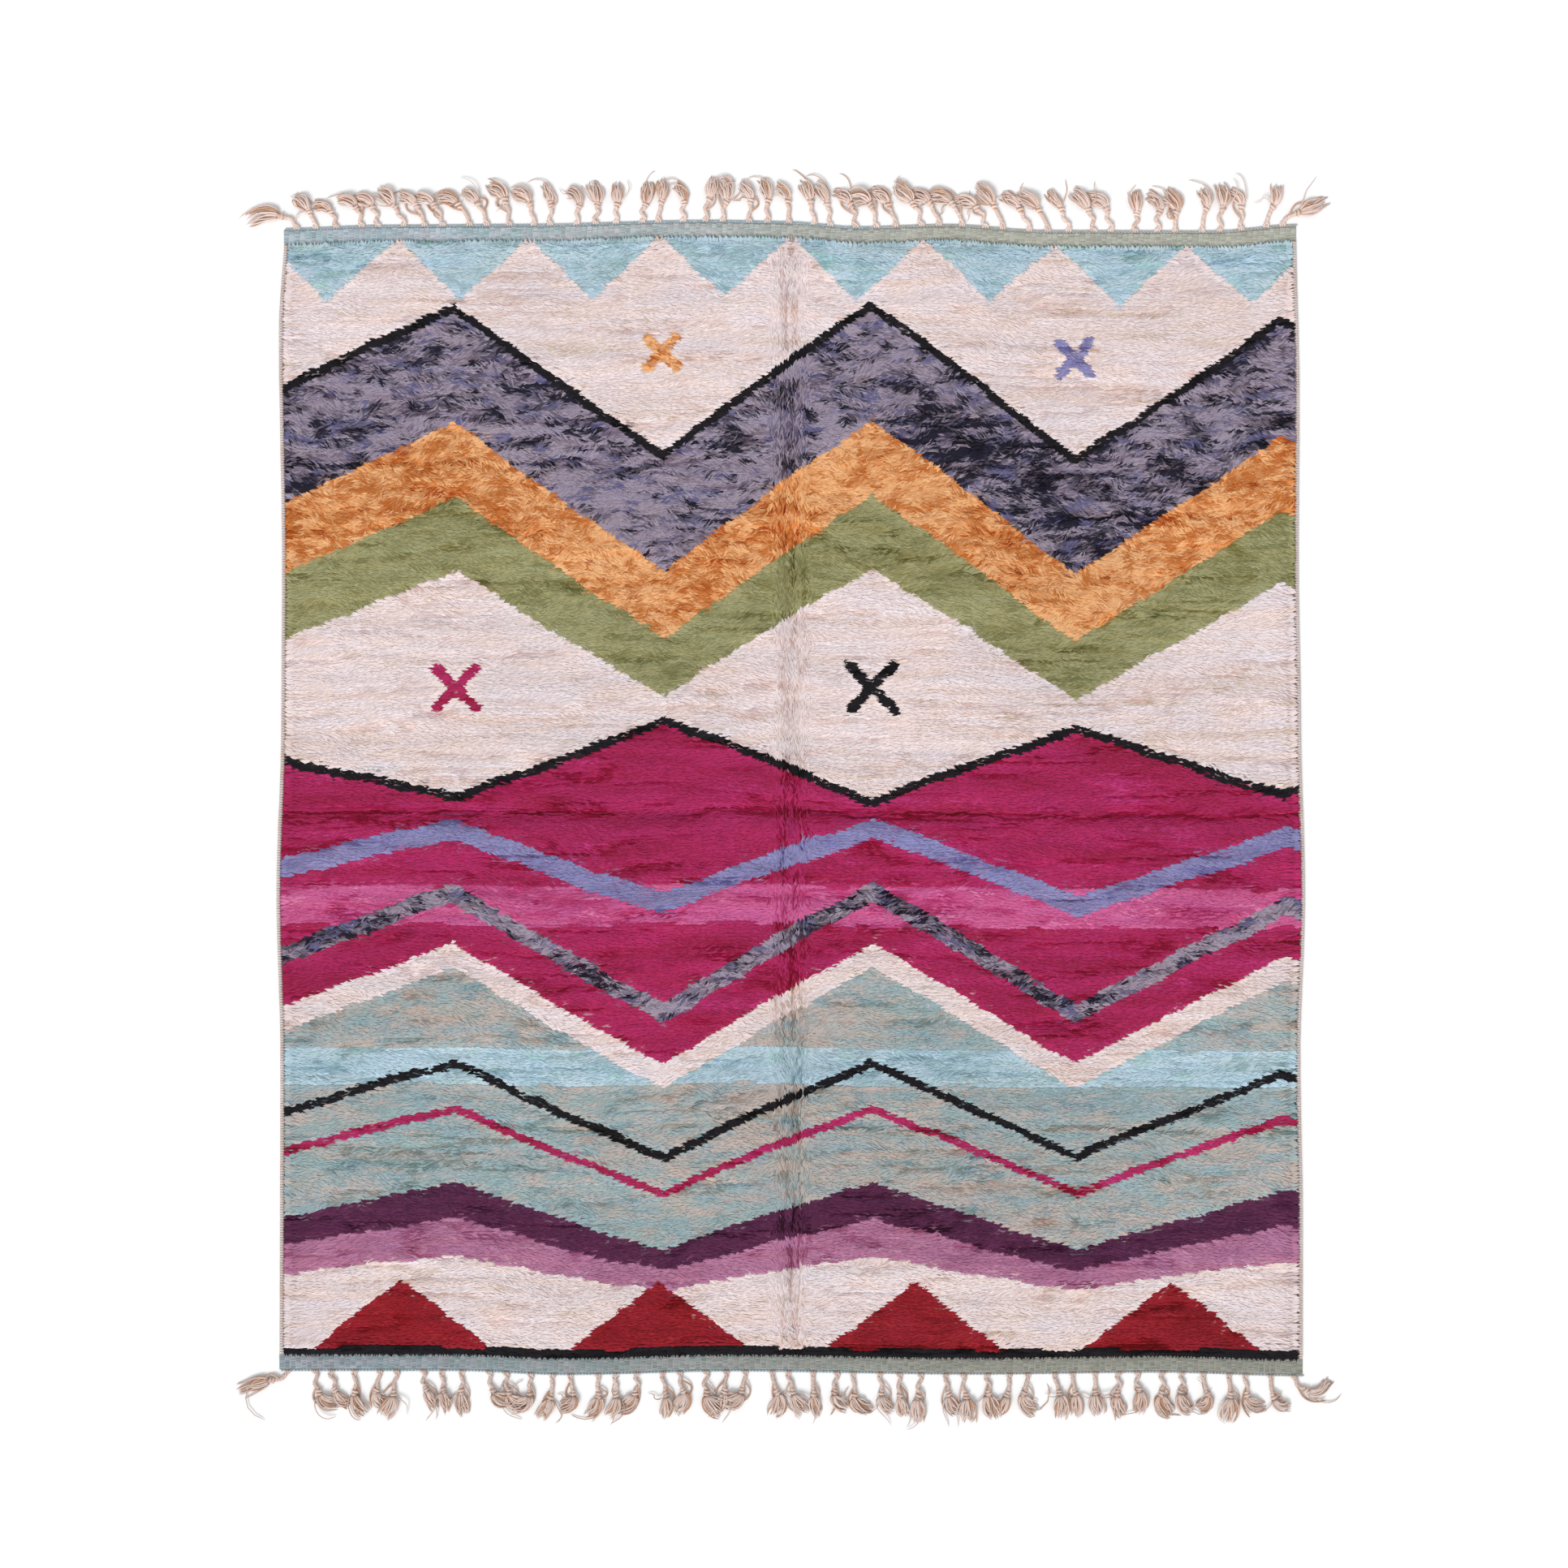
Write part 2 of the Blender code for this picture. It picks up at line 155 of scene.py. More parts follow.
# Stray of a lock's place across and along, of the height of its tip, and of its length
# and fullness as shares.
STRAY_ACROSS, STRAY_ALONG, STRAY_UP = 0.0016, 0.0030, 0.0007
REACH_STRAY, FULLNESS_STRAY = 0.22, 0.18
# How far a tip lies under the pile's top, least height of a root and of a tip over a side
# edge, and the least distance of a root from the pile's edge.
TIP_DEPTH, LEAST_ROOT, EDGE_COVER, ROOT_MARGIN = 0.0012, 0.004, 0.0022, 0.002
# How far round its own length a lock may be spun, in radians.
LOCK_SPIN = 0.30
# Shares of its reach that a lock keeps on a side where another yarn begins, the sum below
# which a lock counts as short, and how much wider and higher a short lock is.
BORDER_SHARES, SHORT_BELOW = (0.45, 0.60, 0.80, 1.0), 1.7
BORDER_FULL, BORDER_RISE = 1.40, 0.0018
# Share of their stray along that locks keep beside a border, and lose in a parting.
BORDER_STRAY, PARTED_STRAY = 0.4, 0.6
# How far from the end bands the locks turn outwards, from where they lean to the sides and
# how strongly.
END_TURN = 0.006
SIDE_LEAN, SIDE_PULL = 0.110, 2.5
# How far the tips may lie over the side edges and the end bands.
LEFT_REACH, RIGHT_REACH, END_REACH = 0.0032, 0.0060, 0.0060
# Zones along the rug in which the locks are laid, one piece each.
PILE_ZONES = 5
# How locks lie: the share that lies to the left and how much patches of them agree on it,
# and the turn out of the row in degrees, with the share of it that strays from lock to lock.
LIE_LEFT = 0.64
PATCH_LEAN = 0.5
LOCK_TURN, TURN_STRAY = 20.0, 0.5
# How far the locks of each yarn are tousled out of their rows, in radians, the others not,
# and how much of it patches of locks and single locks take.
TOUSLED = {
    "orange": 1.25, "navy": 1.05, "black": 0.5, "olive": 0.7, "aqua": 0.6, "aqua_marl": 0.6,
    "ivory": 0.35,
}
PATCH_SWIRL, LOCK_SWIRL = 0.75, 0.45
# Patches of locks that lean, turn or swirl alike, and of a crease's edge: length, width
# and layer of noise.
LEAN_PATCH, TURN_PATCH = (0.30, 0.05, 80), (0.100, 0.040, 81)
SWIRL_PATCH, FOLD_PATCH = (0.040, 0.030, 83), (0.2, 0.07, 82)
# How far beside a crease the locks turn along it, how softly that ends, how far its edge
# wanders, and the stray of the locks along it and along the end bands, in radians.
FOLD_REACH, FOLD_EDGE, FOLD_WANDER = 0.030, 0.030, 0.010
UPRIGHT_STRAY, OUTWARD_STRAY = 0.5, 0.6
# Partings that the folding left: the axis they run along, place on the other axis, how
# far they wander, how deep they open (0 to 1), and the share of their length that shows.
PARTINGS = (
    ("Y", -0.030, 0.006, 0.75, 0.42), ("Y", -0.016, 0.006, 1.00, 0.66),
    ("Y", -0.003, 0.006, 0.80, 0.45), ("Y", 0.010, 0.006, 1.00, 0.68),
    ("Y", 0.023, 0.007, 0.90, 0.52), ("Y", 0.036, 0.007, 0.65, 0.34),
    ("X", -0.036, 0.005, 1.00, 0.85), ("X", -0.050, 0.007, 0.65, 0.45),
    ("X", -0.022, 0.007, 0.60, 0.40), ("X", 0.820, 0.007, 0.75, 0.60),
    ("X", 0.700, 0.008, 0.70, 0.55), ("X", 0.620, 0.008, 0.60, 0.40),
    ("X", 0.760, 0.010, 0.50, 0.35), ("X", -0.806, 0.007, 0.70, 0.50),
    ("X", 1.080, 0.010, 0.50, 0.30), ("X", -0.480, 0.010, 0.45, 0.25),
)
# Waves of a parting's line: share of its wander, length and layer of noise. How long its
# breaks are and how sharply they end.
PARTING_WAVES = ((1.0, 0.09, 100), (0.5, 0.03, 120))
BREAK_LENGTH, BREAK_SHARP = 0.08, 2.5
# Half width of a parting, how far the tips sink in it, how far it pushes locks aside, and
# how much narrower it leaves them.
PARTING_WIDTH = 0.0042
PARTING_DROP = 0.0010
PARTING_PUSH = 0.0030
PARTING_THIN = 0.35
# Painted shade in a parting: how much deeper and warmer the wool's colour is made inside it, red to blue;
# and the painted light and shade on its slopes: how much lighter or darker they are made.
PARTING_SHADE_DEPTH, PARTING_SHADE_TINT = 0.85, (0.98, 0.94, 0.88)
PARTING_SLOPE_LIGHT_SHADE = 0.17
# Loose partings all over the pile: how long, how far apart and how wide, and their depth.
LOOSE_LENGTH, LOOSE_PITCH, LOOSE_WIDTH, LOOSE_DEPTH = 0.170, 0.021, 0.0036, 0.74
# Their finer waves, how much of them shows at least and how much that changes, and how many half widths
# the painted light and shade of their slopes reach.
LOOSE_FINE, LOOSE_FINE_LENGTH = 0.30, 0.035
LOOSE_SHOWN = (0.35, 1.3)
LOOSE_SLOPE = 1.5
# Slow waves of the rows: height, length, width and layer of noise.
ROW_WAVES = ((0.0026, 0.070, 0.022, 83), (0.0016, 0.024, 0.011, 84))
# Painted light and shade on the creases' slopes, lighter or darker: axis, place, half width, strength.
CREASE_LIGHT_SHADE = (
    ("X", -0.014, 0.018, 0.10), ("X", -0.060, 0.020, -0.18), ("Y", 0.002, 0.036, -0.13),
)
# How much of that painted light and shade shows on the whole, how much that changes, and over what
# length.
CREASE_LIGHT_SHADE_SHOWN = (0.7, 0.5, 0.16)

# End bands: ribs across, weft passes in a rib, thickness of the cloth and of a float.
RIB_COUNT = 187
PASS_COUNT = 12
BAND_CLOTH = 0.0034
FLOAT_HEIGHT = 0.0032
# Size of a float in ribs and in passes, the stray of its height and of its turn, the
# wander of a rib, the length of its waves and the least distance of a float from the
# band's outer edge.
FLOAT_ACROSS, FLOAT_ALONG = 1.10, 1.30
FLOAT_STRAY, FLOAT_TURN = 0.15, 0.10
RIB_WANDER, RIB_WAVE = 0.0012, 0.03
FLOAT_MARGIN = 0.0008

# Wraps of the overcast edges: sections round the cord, slant in a wrap, turn of a wrap and
# its stray in radians, and the stray of its size with the length of its waves.
WRAP_PITCH = 0.0062
WRAP_WIDTH = 0.0038
WRAP_THICKNESS = 0.0016
WRAP_SIDES, WRAP_SLANT = 8, 0.0012
WRAP_TURN, WRAP_TURN_STRAY = 0.18, 0.08
WRAP_SIZE_STRAY, WRAP_WAVE = 0.05, 0.05

# Stitches of the twined strips: distance apart, place of the first strand and step to the
# second as shares of the strip's depth, and how far the second is set on.
TWINE_PITCH = 0.0080
TWINE_FROM, TWINE_STEP, TWINE_SHIFT = 0.28, 0.44, 0.004
# A stitch's half length, slant, height, arch and radius, the share of it under the arch,
# and where sage ones begin.
STITCH_REACH, STITCH_SLANT, STITCH_HEIGHT, STITCH_ARCH = 0.0052, 0.0016, 0.0022, 0.0006
STITCH_RADIUS, STITCH_ARCHED = 0.0017, 0.4
SAGE_STITCHES = 0.2

# Plies of a tassel's cord: count, radius, steps, turns up to the knot, how close they lie
# and the sides of each.
PLY_COUNT = 3
PLY_RADIUS = 0.0028
PLY_STEPS = 20
PLY_TURNS = 3.0
PLY_LAY = 1.08
PLY_SIDES = 5
# Distance between the plies where they leave the band, where their twist is full, and how
# far they reach back under the twining and on into the knot, in shares of the tassel.
PLY_SPREAD, PLY_TWISTED = 0.0052, 0.10
CORD_BACK, CORD_ON = 0.03, 0.06
# How far a cord bends to either side between the band and its knot.
CORD_BEND = 0.0065
# How steeply a cord's plies start back under the twining, along the tassel's own length.
CORD_TUCK = 0.15

# Knot: where it starts and ends on the tassel, its coil's turns and steps, the sides of the
# coil and of its core, and the share of coils that are wound the other way.
KNOT_FROM, KNOT_TO = 0.29, 0.46
KNOT_TURNS = 2.2
KNOT_STEPS = 28
KNOT_SIDES, CORE_SIDES = 6, 7
ODD_HANDS = 0.3
# The coil's half width, middle height, half height and radius; its core's height, radii
# from end to end, and how far it reaches past the coil at its start and in all.
COIL_WIDTH, COIL_MIDDLE, COIL_HEIGHT, COIL_RADIUS = 0.0068, 0.0072, 0.0042, 0.0028
CORE_HEIGHT = 0.0060
CORE_PAST_START, CORE_PAST = 0.02, 0.06
CORE_RADII = (0.001, 0.0048, 0.0058, 0.0056, 0.0048, 0.001)
# Where the coil starts in the knot and how much of the knot it takes, as shares, and the
# same for its swell on a half wave.
COIL_SPAN, COIL_SWELL = (0.08, 0.84), (0.12, 0.76)

# Frayed end: strands and wisps, steps, length, half width, curl, and how much longer the
# end of a corner tassel is.
TAIL_COUNT, WISP_COUNT = 14, 1
TAIL_STEPS = 8
TAIL_LENGTH = 0.060
TAIL_ROOT, TAIL_SWELL = 0.0045, 0.0145
TAIL_CURL = 0.0060
CORNER_REACH = 1.4
# Least and most fullness of a frayed end, as a share of its usual width, and the share of
# its length that doesn't depend on it.
TAIL_FULLNESS = (0.50, 1.15)
TAIL_LEAST_LENGTH = 0.6
# Where a frayed end starts under its knot, how strongly it turns and for how many steps.
TAIL_OVERLAP, TAIL_BEND, TAIL_BENT_STEPS = 0.05, 1.5, 6
# Least and most length and curl of a strand, as shares.
TAIL_LENGTHS, TAIL_CURLS = (0.80, 1.08), (0.3, 1.0)
# Waves of a strand's curl in radians, and its sides.
TAIL_WAVE, TAIL_SIDES = 5.5, 4
# Strands and wisps: stray of the turn in radians, times the turn, times the curl, radius.
STRAND, WISP = (0.12, 1.0, 1.0, 0.0031), (0.9, 1.8, 1.6, 0.0022)
WISP_LENGTH, WISP_SPREAD = 1.25, 1.5
# How much of a half wave a frayed end's swell takes, and how early it comes; where on a
# half wave the rise of a strand starts, and how much of it that takes.
SWELL_WAVE, SWELL_EARLY, RISE_WAVE = 0.80, 0.8, (0.15, 0.75)
# How much a strand thins towards its tip, its height at the knot, how high the upper strands lie and
# every second tassel, and the share of strands that lie low and take the tan of painted shade.
TAIL_TAPER = 0.55
TAIL_HEIGHT, TAIL_HEAP, TASSEL_LIFT = 0.0040, 0.0060, 0.0045
LOW_STRANDS = 0.45
# Turn of the frayed ends out of their tassels' lean, in degrees: the usual one, and the
# least and most that each is swept to either side of it.
TOP_SWEEP = (-36.0, 0.0, 28.0)
BOTTOM_SWEEP = (0.0, 12.0, 78.0)

# Plies that have slipped out and lie beside their tassel in a bow: the share of tassels
# with one at each end, steps, sides, radius, height and how many radii it lies up, least
# and most width of the bow, and where it starts and ends on the tassel.
TOP_BOWS, BOTTOM_BOWS = 0.30, 0.75
BOW_STEPS, BOW_SIDES = 12, 5
BOW_RADIUS, BOW_HEIGHT, BOW_UP = 0.0024, 0.0060, 1.2
BOW_WIDTHS = (0.011, 0.025)
BOW_STARTS, BOW_ENDS = (0.12, 0.26), (0.50, 0.85)

# Lowest that a strand's surface reaches over the floor, and the tones of single strands.
STRAND_REST = 0.0003
STRAND_TONES = (0.94, 1.04)

# Yarns in the pile: colour, the colour it is spun with and a third in flecks (0 to 255),
# the shares of the second and the third, the length and width of the streaks, how sharp
# they are, and how much the second's share changes from patch to patch.
YARNS = {
    "ivory": ((227, 212, 212), (217, 196, 190), (208, 188, 174), 0.36, 0.17, 0.220, 0.010, 1.8, 0.5),
    "aqua": ((180, 201, 212), (148, 175, 184), (162, 196, 192), 0.40, 0.22, 0.060, 0.010, 2.2, 0.4),
    "aqua_marl": ((148, 170, 173), (187, 171, 163), (126, 149, 155), 0.49, 0.22, 0.070, 0.012, 1.5, 0.9),
    "navy": ((34, 31, 45), (152, 139, 155), (99, 95, 130), 0.52, 0.30, 0.048, 0.012, 3.6, 0.8),
    "orange": ((188, 108, 50), (229, 172, 120), (172, 90, 42), 0.56, 0.16, 0.026, 0.012, 2.6, 0.5),
    "olive": ((156, 152, 110), (122, 120, 78), (140, 130, 82), 0.36, 0.16, 0.070, 0.010, 2.2, 0.5),
    "magenta": ((174, 43, 96), (150, 32, 68), (186, 56, 116), 0.42, 0.12, 0.200, 0.022, 1.4, 0.6),
    "pale_magenta": ((198, 94, 144), (178, 60, 112), (218, 124, 164), 0.40, 0.18, 0.100, 0.012, 2.2, 0.5),
    "periwinkle": ((140, 136, 180), (120, 114, 158), (124, 134, 184), 0.40, 0.16, 0.060, 0.010, 1.8, 0.4),
    "black": ((30, 27, 31), (20, 18, 21), (42, 38, 42), 0.40, 0.12, 0.050, 0.010, 1.5, 0.3),
    "purple": ((92, 42, 74), (72, 32, 60), (102, 54, 82), 0.40, 0.16, 0.080, 0.012, 1.6, 0.4),
    "mauve": ((178, 118, 150), (158, 98, 130), (186, 132, 156), 0.40, 0.16, 0.080, 0.012, 1.6, 0.4),
    "red": ((150, 32, 43), (128, 25, 34), (156, 42, 48), 0.40, 0.14, 0.090, 0.012, 1.6, 0.4),
}
YARN_NAMES = list(YARNS)
# Weights of long and short streaks, and how much shorter and narrower the short ones are.
LONG_STREAK, SHORT_STREAK = 0.60, 0.40
SHORTER, NARROWER = 2.4, 1.2
# Patches of a yarn: weight, length and width.
PATCH_WEIGHT, PATCH_LENGTH, PATCH_WIDTH = 0.45, 0.42, 0.15
# How strongly a knot strays from its streak; length and sharpness of flecks.
KNOT_STRAY = 0.32
FLECK_LENGTH, FLECK_SHARP = 0.8, 2.4
# Slow changes of shade: strength, length, width and layer of noise; shade of single knots.
SHADES = ((0.05, 0.5, 0.035, 70), (0.04, 0.35, 0.30, 71), (0.03, 0.14, KNOT_ROW, 72))
KNOT_SHADE = 0.03
# Warm and cool stretches: strength in red, green and blue, length and width.
WARMTH, WARM_LENGTH, WARM_WIDTH = (0.040, 0.0, -0.050), 0.09, 0.014
# Ragged borders of the yarns: stray of a knot, then waves across (size, length) and along
# (size, length, width).
BORDER_KNOTS = 0.002
BORDER_ACROSS, BORDER_ALONG = (0.004, 0.05), (0.004, 0.06, 0.05)

# Zigzag that the pattern's bands follow: place across the rug, height.
ZIGZAG = (
    (-1.26, -0.02), (-0.82, 0.180), (-0.31, -0.190), (0.20, 0.190), (0.70, -0.180),
    (1.20, 0.150), (1.26, 0.125),
)
# Bands from the top down: yarn, level of the lower edge, share of the zigzag there.
BANDS = (
    ("ivory", 1.020, 1.00), ("navy", 0.740, 1.00), ("orange", 0.565, 0.95),
    ("olive", 0.405, 0.85), ("ivory", 0.090, -0.50), ("magenta", -0.500, 0.80),
    ("ivory", -0.560, 0.80), ("aqua_marl", -1.020, 0.45), ("purple", -1.090, 0.35),
    ("mauve", -1.160, 0.22), ("ivory", -1.500, 0.00),
)
# Strips dyed in a later bath: yarn, the yarn it changes to, from and to level.
DYE_CHANGES = (("magenta", "pale_magenta", -0.310, -0.215), ("aqua_marl", "aqua", -0.700, -0.610))
# Lines along the zigzag: yarn, level, share of the zigzag, width.
LINES = (
    ("black", 1.020, 1.00, 0.024), ("black", 0.090, -0.50, 0.022),
    ("periwinkle", -0.165, 0.50, 0.050), ("navy", -0.375, 0.80, 0.048),
    ("black", -0.760, 0.62, 0.022), ("magenta", -0.860, 0.56, 0.020),
)
# Rows of triangles: yarn, level of their feet, share of the zigzag, height (below zero
# points down), places of the first and last one, count, half width of the foot.
TRIANGLES = (
    ("aqua", 1.370, 0.00, -0.150, -1.13, 1.14, 8, 0.162),
    ("red", -1.345, 0.00, 0.165, -0.95, 0.93, 4, 0.220),
)
# Small crosses: yarn, place across, place along, reach of the arms.
CROSSES = (
    ("magenta", -0.820, 0.270, 0.060), ("black", 0.200, 0.275, 0.064),
    ("orange", -0.310, 1.085, 0.046), ("periwinkle", 0.700, 1.090, 0.048),
)
CROSS_ARM = 0.018
EDGE_LINE = ("black", -1.344)

# Colours of the other wools (0 to 255).
BAND_COLOURS = ((186, 192, 202), (150, 176, 178), (196, 180, 186))
BAND_SAGE = (176, 172, 154)
SELVEDGE_COLOURS = ((212, 198, 194), (200, 178, 168), (204, 196, 192))
# Fringe colours: its wool, a tan that stands for the shade among its strands and is mixed into its low
# strands, knot cores and slipped plies as painted shade, and a paler tone.
FRINGE_COLOURS = ((219, 191, 178), (196, 148, 114), (234, 212, 202))
# Where a band turns to sage and how far, how its edge wanders, and how much its floats
# differ in shade.
SAGE_FROM, SAGE_TO, SAGE_SHARE = -1.05, 0.60, 0.75
SAGE_WANDER, SAGE_WAVE = 0.25, 0.30
BAND_SHADE = 0.20
# Mottling of bands and edges: length and width in a band, length on an edge, stray of
# single floats and wraps, and for the third colour its share, the change in it and how
# much longer its stretches are.
MOTTLE_LENGTH, MOTTLE_WIDTH, EDGE_MOTTLE = 0.016, 0.008, 0.06
MIX_STRAY, THIRD_MIX = 0.3, (0.3, 0.6, 1.7)
# The bottom end is in shade: painted shade darkens its band and its fringe.
BOTTOM_BAND_PAINTED_SHADE, BOTTOM_FRINGE_PAINTED_SHADE = 0.74, 0.84

# Wools: fibres to the metre, stretch of their pattern, contrast, relief and sheen.
WOOLS = {
    "pile_wool": (420.0, (0.5, 1.0, 1.0), 0.06, 0.3, 0.06),
    "flat_wool": (700.0, (1.0, 1.0, 1.0), 0.08, 0.5, 0.06),
    "edge_wool": (600.0, (1.0, 1.0, 1.0), 0.10, 0.5, 0.08),
    "cord_wool": (500.0, (1.0, 1.0, 1.0), 0.10, 0.5, 0.10),
}

# Noise of the fibres: detail and roughness, the stretch of it that shows and the depth of
# its relief; then how rough wool is, its shine and the roughness of its sheen.
FIBRE_DETAIL, FIBRE_ROUGHNESS = 3.0, 0.6
FIBRE_LOW, FIBRE_HIGH, FIBRE_DEPTH = 0.25, 0.75, 0.001
WOOL_ROUGHNESS, WOOL_SHINE, SHEEN_ROUGHNESS = 0.95, 0.15, 0.5

# Camera, floor and light: places in metres, angles in degrees.
LENS, SENSOR, CLIP_END = 70, 36, 100
CAMERA_PLACE = (-0.015, 0.038, 7.472)
FLOOR_REACH, FLOOR_ROUGHNESS, FLOOR_COLOUR = 30, 0.9, (0.92, 0.92, 0.92, 1)
KEY_ENERGY, KEY_ANGLE, KEY_TURN = 2.0, 28, (38, -22, 0)
SURROUND_COLOUR, SURROUND_STRENGTH = (0.96, 0.98, 1.0, 1), 0.70

# Width of the lattice that the smooth noise is read from, and the seed of every draw.
LATTICE = 512
SEED = 20
# How full a small face lies in its cell of the flat layout, and a part in its own.
FACE_FILL, CELL_MARGIN, CELL_FILL = 0.92, 0.06, 0.88


def follow(table, place):
    """Smoothly read a table's rows at a place; gives the row's other columns."""
    if place <= table[0][0]:
        return table[0][1:]
    for low, high in zip(table, table[1:]):
        if place <= high[0]:
            share = ease((place - low[0]) / (high[0] - low[0]))
            return tuple(a + (b - a) * share for a, b in zip(low[1:], high[1:]))
    return table[-1][1:]


def ease(t):
    """Smooth rise from 0 at t = 0 to 1 at t = 1."""
    t = np.clip(t, 0.0, 1.0)
    return t * t * (3 - 2 * t)


def even_lines(half, count):
    """Evenly spaced places from one edge to the other."""
    return [-half + 2 * half * i / count for i in range(count + 1)]


def row_lines():
    """Lines of the solids across the rug: the rim's and the creases' own, and even ones."""
    half = FIELD_HALF_LENGTH
    own = [-half, -half + PILE_RIM_WIDTH, half - PILE_RIM_WIDTH, half]
    for axis, at, start, end, depth, half_width in FOLDS:
        if axis == "X":
            own += [at - half_width, at, at + half_width]
    even = even_lines(half, round(2 * half / ROW_PITCH))
    kept = [e for e in even if abs(e) < half and min(abs(e - c) for c in own) > ROW_PITCH / 3]
    return sorted(own + kept)


BAY_EDGES = even_lines(HALF_WIDTH, TASSEL_COUNT)
ROW_EDGES = row_lines()
LEFT_AT_ROWS = [follow(LEFT_EDGE, y)[0] for y in ROW_EDGES]
RIGHT_AT_ROWS = [follow(RIGHT_EDGE, y)[0] for y in ROW_EDGES]
BOTTOM_AT_BAYS = [follow(BOTTOM_EDGE, x)[0] for x in BAY_EDGES]
TOP_AT_BAYS = [follow(TOP_EDGE, x)[0] for x in BAY_EDGES]


def lie(x, y):
    """Where points of the plain rectangle lie on the floor, with the edges' slow waves."""
    across = (x / HALF_WIDTH + 1) / 2
    along = (y / HALF_LENGTH + 1) / 2
    left = np.interp(y, ROW_EDGES, LEFT_AT_ROWS)
    right = np.interp(y, ROW_EDGES, RIGHT_AT_ROWS)
    bottom = np.interp(x, BAY_EDGES, BOTTOM_AT_BAYS)
    top = np.interp(x, BAY_EDGES, TOP_AT_BAYS)
    return x - left * (1 - across) + right * across, y - bottom * (1 - along) + top * along


def drift(x, y, across, along, layer):
    """Smooth random values from -1 to 1 that change over the given distances."""
    lattice = np.random.default_rng(SEED + layer).uniform(-1, 1, (LATTICE, LATTICE))
    u = x / across + LATTICE / 2
    v = y / along + LATTICE / 2
    column = np.floor(u).astype(int)
    row = np.floor(v).astype(int)
    right = ease(u - column)
    up = ease(v - row)

    def across_row(number):
        from_left = lattice[number % LATTICE, column % LATTICE]
        from_right = lattice[number % LATTICE, (column + 1) % LATTICE]
        return from_left * (1 - right) + from_right * right

    return across_row(row) * (1 - up) + across_row(row + 1) * up


def scattered(draw, like):
    """Random values from -1 to 1, one for each of the places."""
    return draw.uniform(-1, 1, like.shape)


def creases(x, y):
    """Each crease: its axis, distance off it, half width, how much of it is there, and depth."""
    found = []
    for axis, at, start, end, depth, half_width in FOLDS:
        across, along = (x, y) if axis == "Y" else (y, x)
        fade = ease((along - start) / FOLD_FADE) * ease((end - along) / FOLD_FADE)
        found.append((axis, across - at, half_width, fade, depth))
    return found


def rims_inside(x, y):
    """Distance from the pile's nearest edge, in widths of its rim."""
    return np.minimum(FIELD_HALF_WIDTH - abs(x), FIELD_HALF_LENGTH - abs(y)) / PILE_RIM_WIDTH


def pile_top(x, y):
    """Height of the pile: full inside the rim, lumpy, and pressed in at the creases."""
    inside = np.clip(rims_inside(x, y), 0, 1)
    height = PILE_RIM_HEIGHT + (PILE_HEIGHT - PILE_RIM_HEIGHT) * inside
    for waves, lump, layer in LUMPS:
        places = zip(np.ravel(x) * waves, np.ravel(y) * waves)
        lumps = [noise.noise(Vector((across, along, layer))) for across, along in places]
        height = height + lump * np.reshape(lumps, np.shape(x))
    for axis, off, half_width, fade, depth in creases(x, y):
        height = height - depth * fade * np.maximum(0, 1 - abs(off) / half_width) * (1 + inside) / 2
    return height


def linear(colour):
    """A screen colour, 0 to 255, as linear light."""
    value = np.asarray(colour, float) / 255
    return np.where(value <= 0.04045, value / 12.92, ((value + 0.055) / 1.055) ** 2.4)


def zigzag(x, share):
    """Height of the pattern's zigzag at places across the rug."""
    return share * np.interp(x, [row[0] for row in ZIGZAG], [row[1] for row in ZIGZAG])


def pattern(x, y):
    """Number of the yarn that is knotted at each place of the plain rectangle."""
    number = YARN_NAMES.index
    yarn = np.full(x.shape, number("ivory"))
    upper = np.full(x.shape, 2 * HALF_LENGTH)
    for name, level, share in BANDS:
        lower = level + zigzag(x, share)
        yarn[(y <= upper) & (y > lower)] = number(name)
        upper = np.minimum(upper, lower)
    for name, level, share, height, first, last, count, half_foot in TRIANGLES:
        step = (last - first) / (count - 1)
        nearest = np.clip(np.round((x - first) / step), 0, count - 1) * step + first
        rise = (y - level - zigzag(x, share)) * np.sign(height)
        slope = abs(height) * (1 - abs(x - nearest) / half_foot)
        yarn[(rise >= 0) & (rise < slope)] = number(name)
    for name, changed, low, high in DYE_CHANGES:
        yarn[(yarn == number(name)) & (y > low) & (y < high)] = number(changed)
    for name, level, share, width in LINES:
        yarn[abs(y - level - zigzag(x, share)) < width / 2] = number(name)
    for name, middle_x, middle_y, reach in CROSSES:
        across = abs(x - middle_x)
        along = abs(y - middle_y)
        cross = (np.maximum(across, along) < reach) & (abs(across - along) < CROSS_ARM)
        yarn[cross] = number(name)
    name, level = EDGE_LINE
    yarn[y < level] = number(name)
    return yarn


def knotted_yarn(x, y, draw):
    """Yarn at each knot, with the ragged edges of hand knotting."""
    wave, length = BORDER_ACROSS
    ragged_x = x + BORDER_KNOTS * scattered(draw, x) + wave * drift(x, y, length, KNOT_ROW, 3)
    wave, length, width = BORDER_ALONG
    ragged_y = y + wave * drift(x, y, length, width, 4)
    return pattern(ragged_x, ragged_y)


def streaks(x, y, number, across, along, patch, draw):
    """Streaks of a yarn's second colour: long, short, patchy, and strays of single knots."""
    streak = LONG_STREAK * drift(x, y, across, along, 10 + number)
    streak += SHORT_STREAK * drift(x, y, across / SHORTER, along / NARROWER, 40 + number)
    streak += PATCH_WEIGHT * patch * drift(x, y, PATCH_LENGTH, PATCH_WIDTH, 200 + number)
    return streak + KNOT_STRAY * scattered(draw, x)


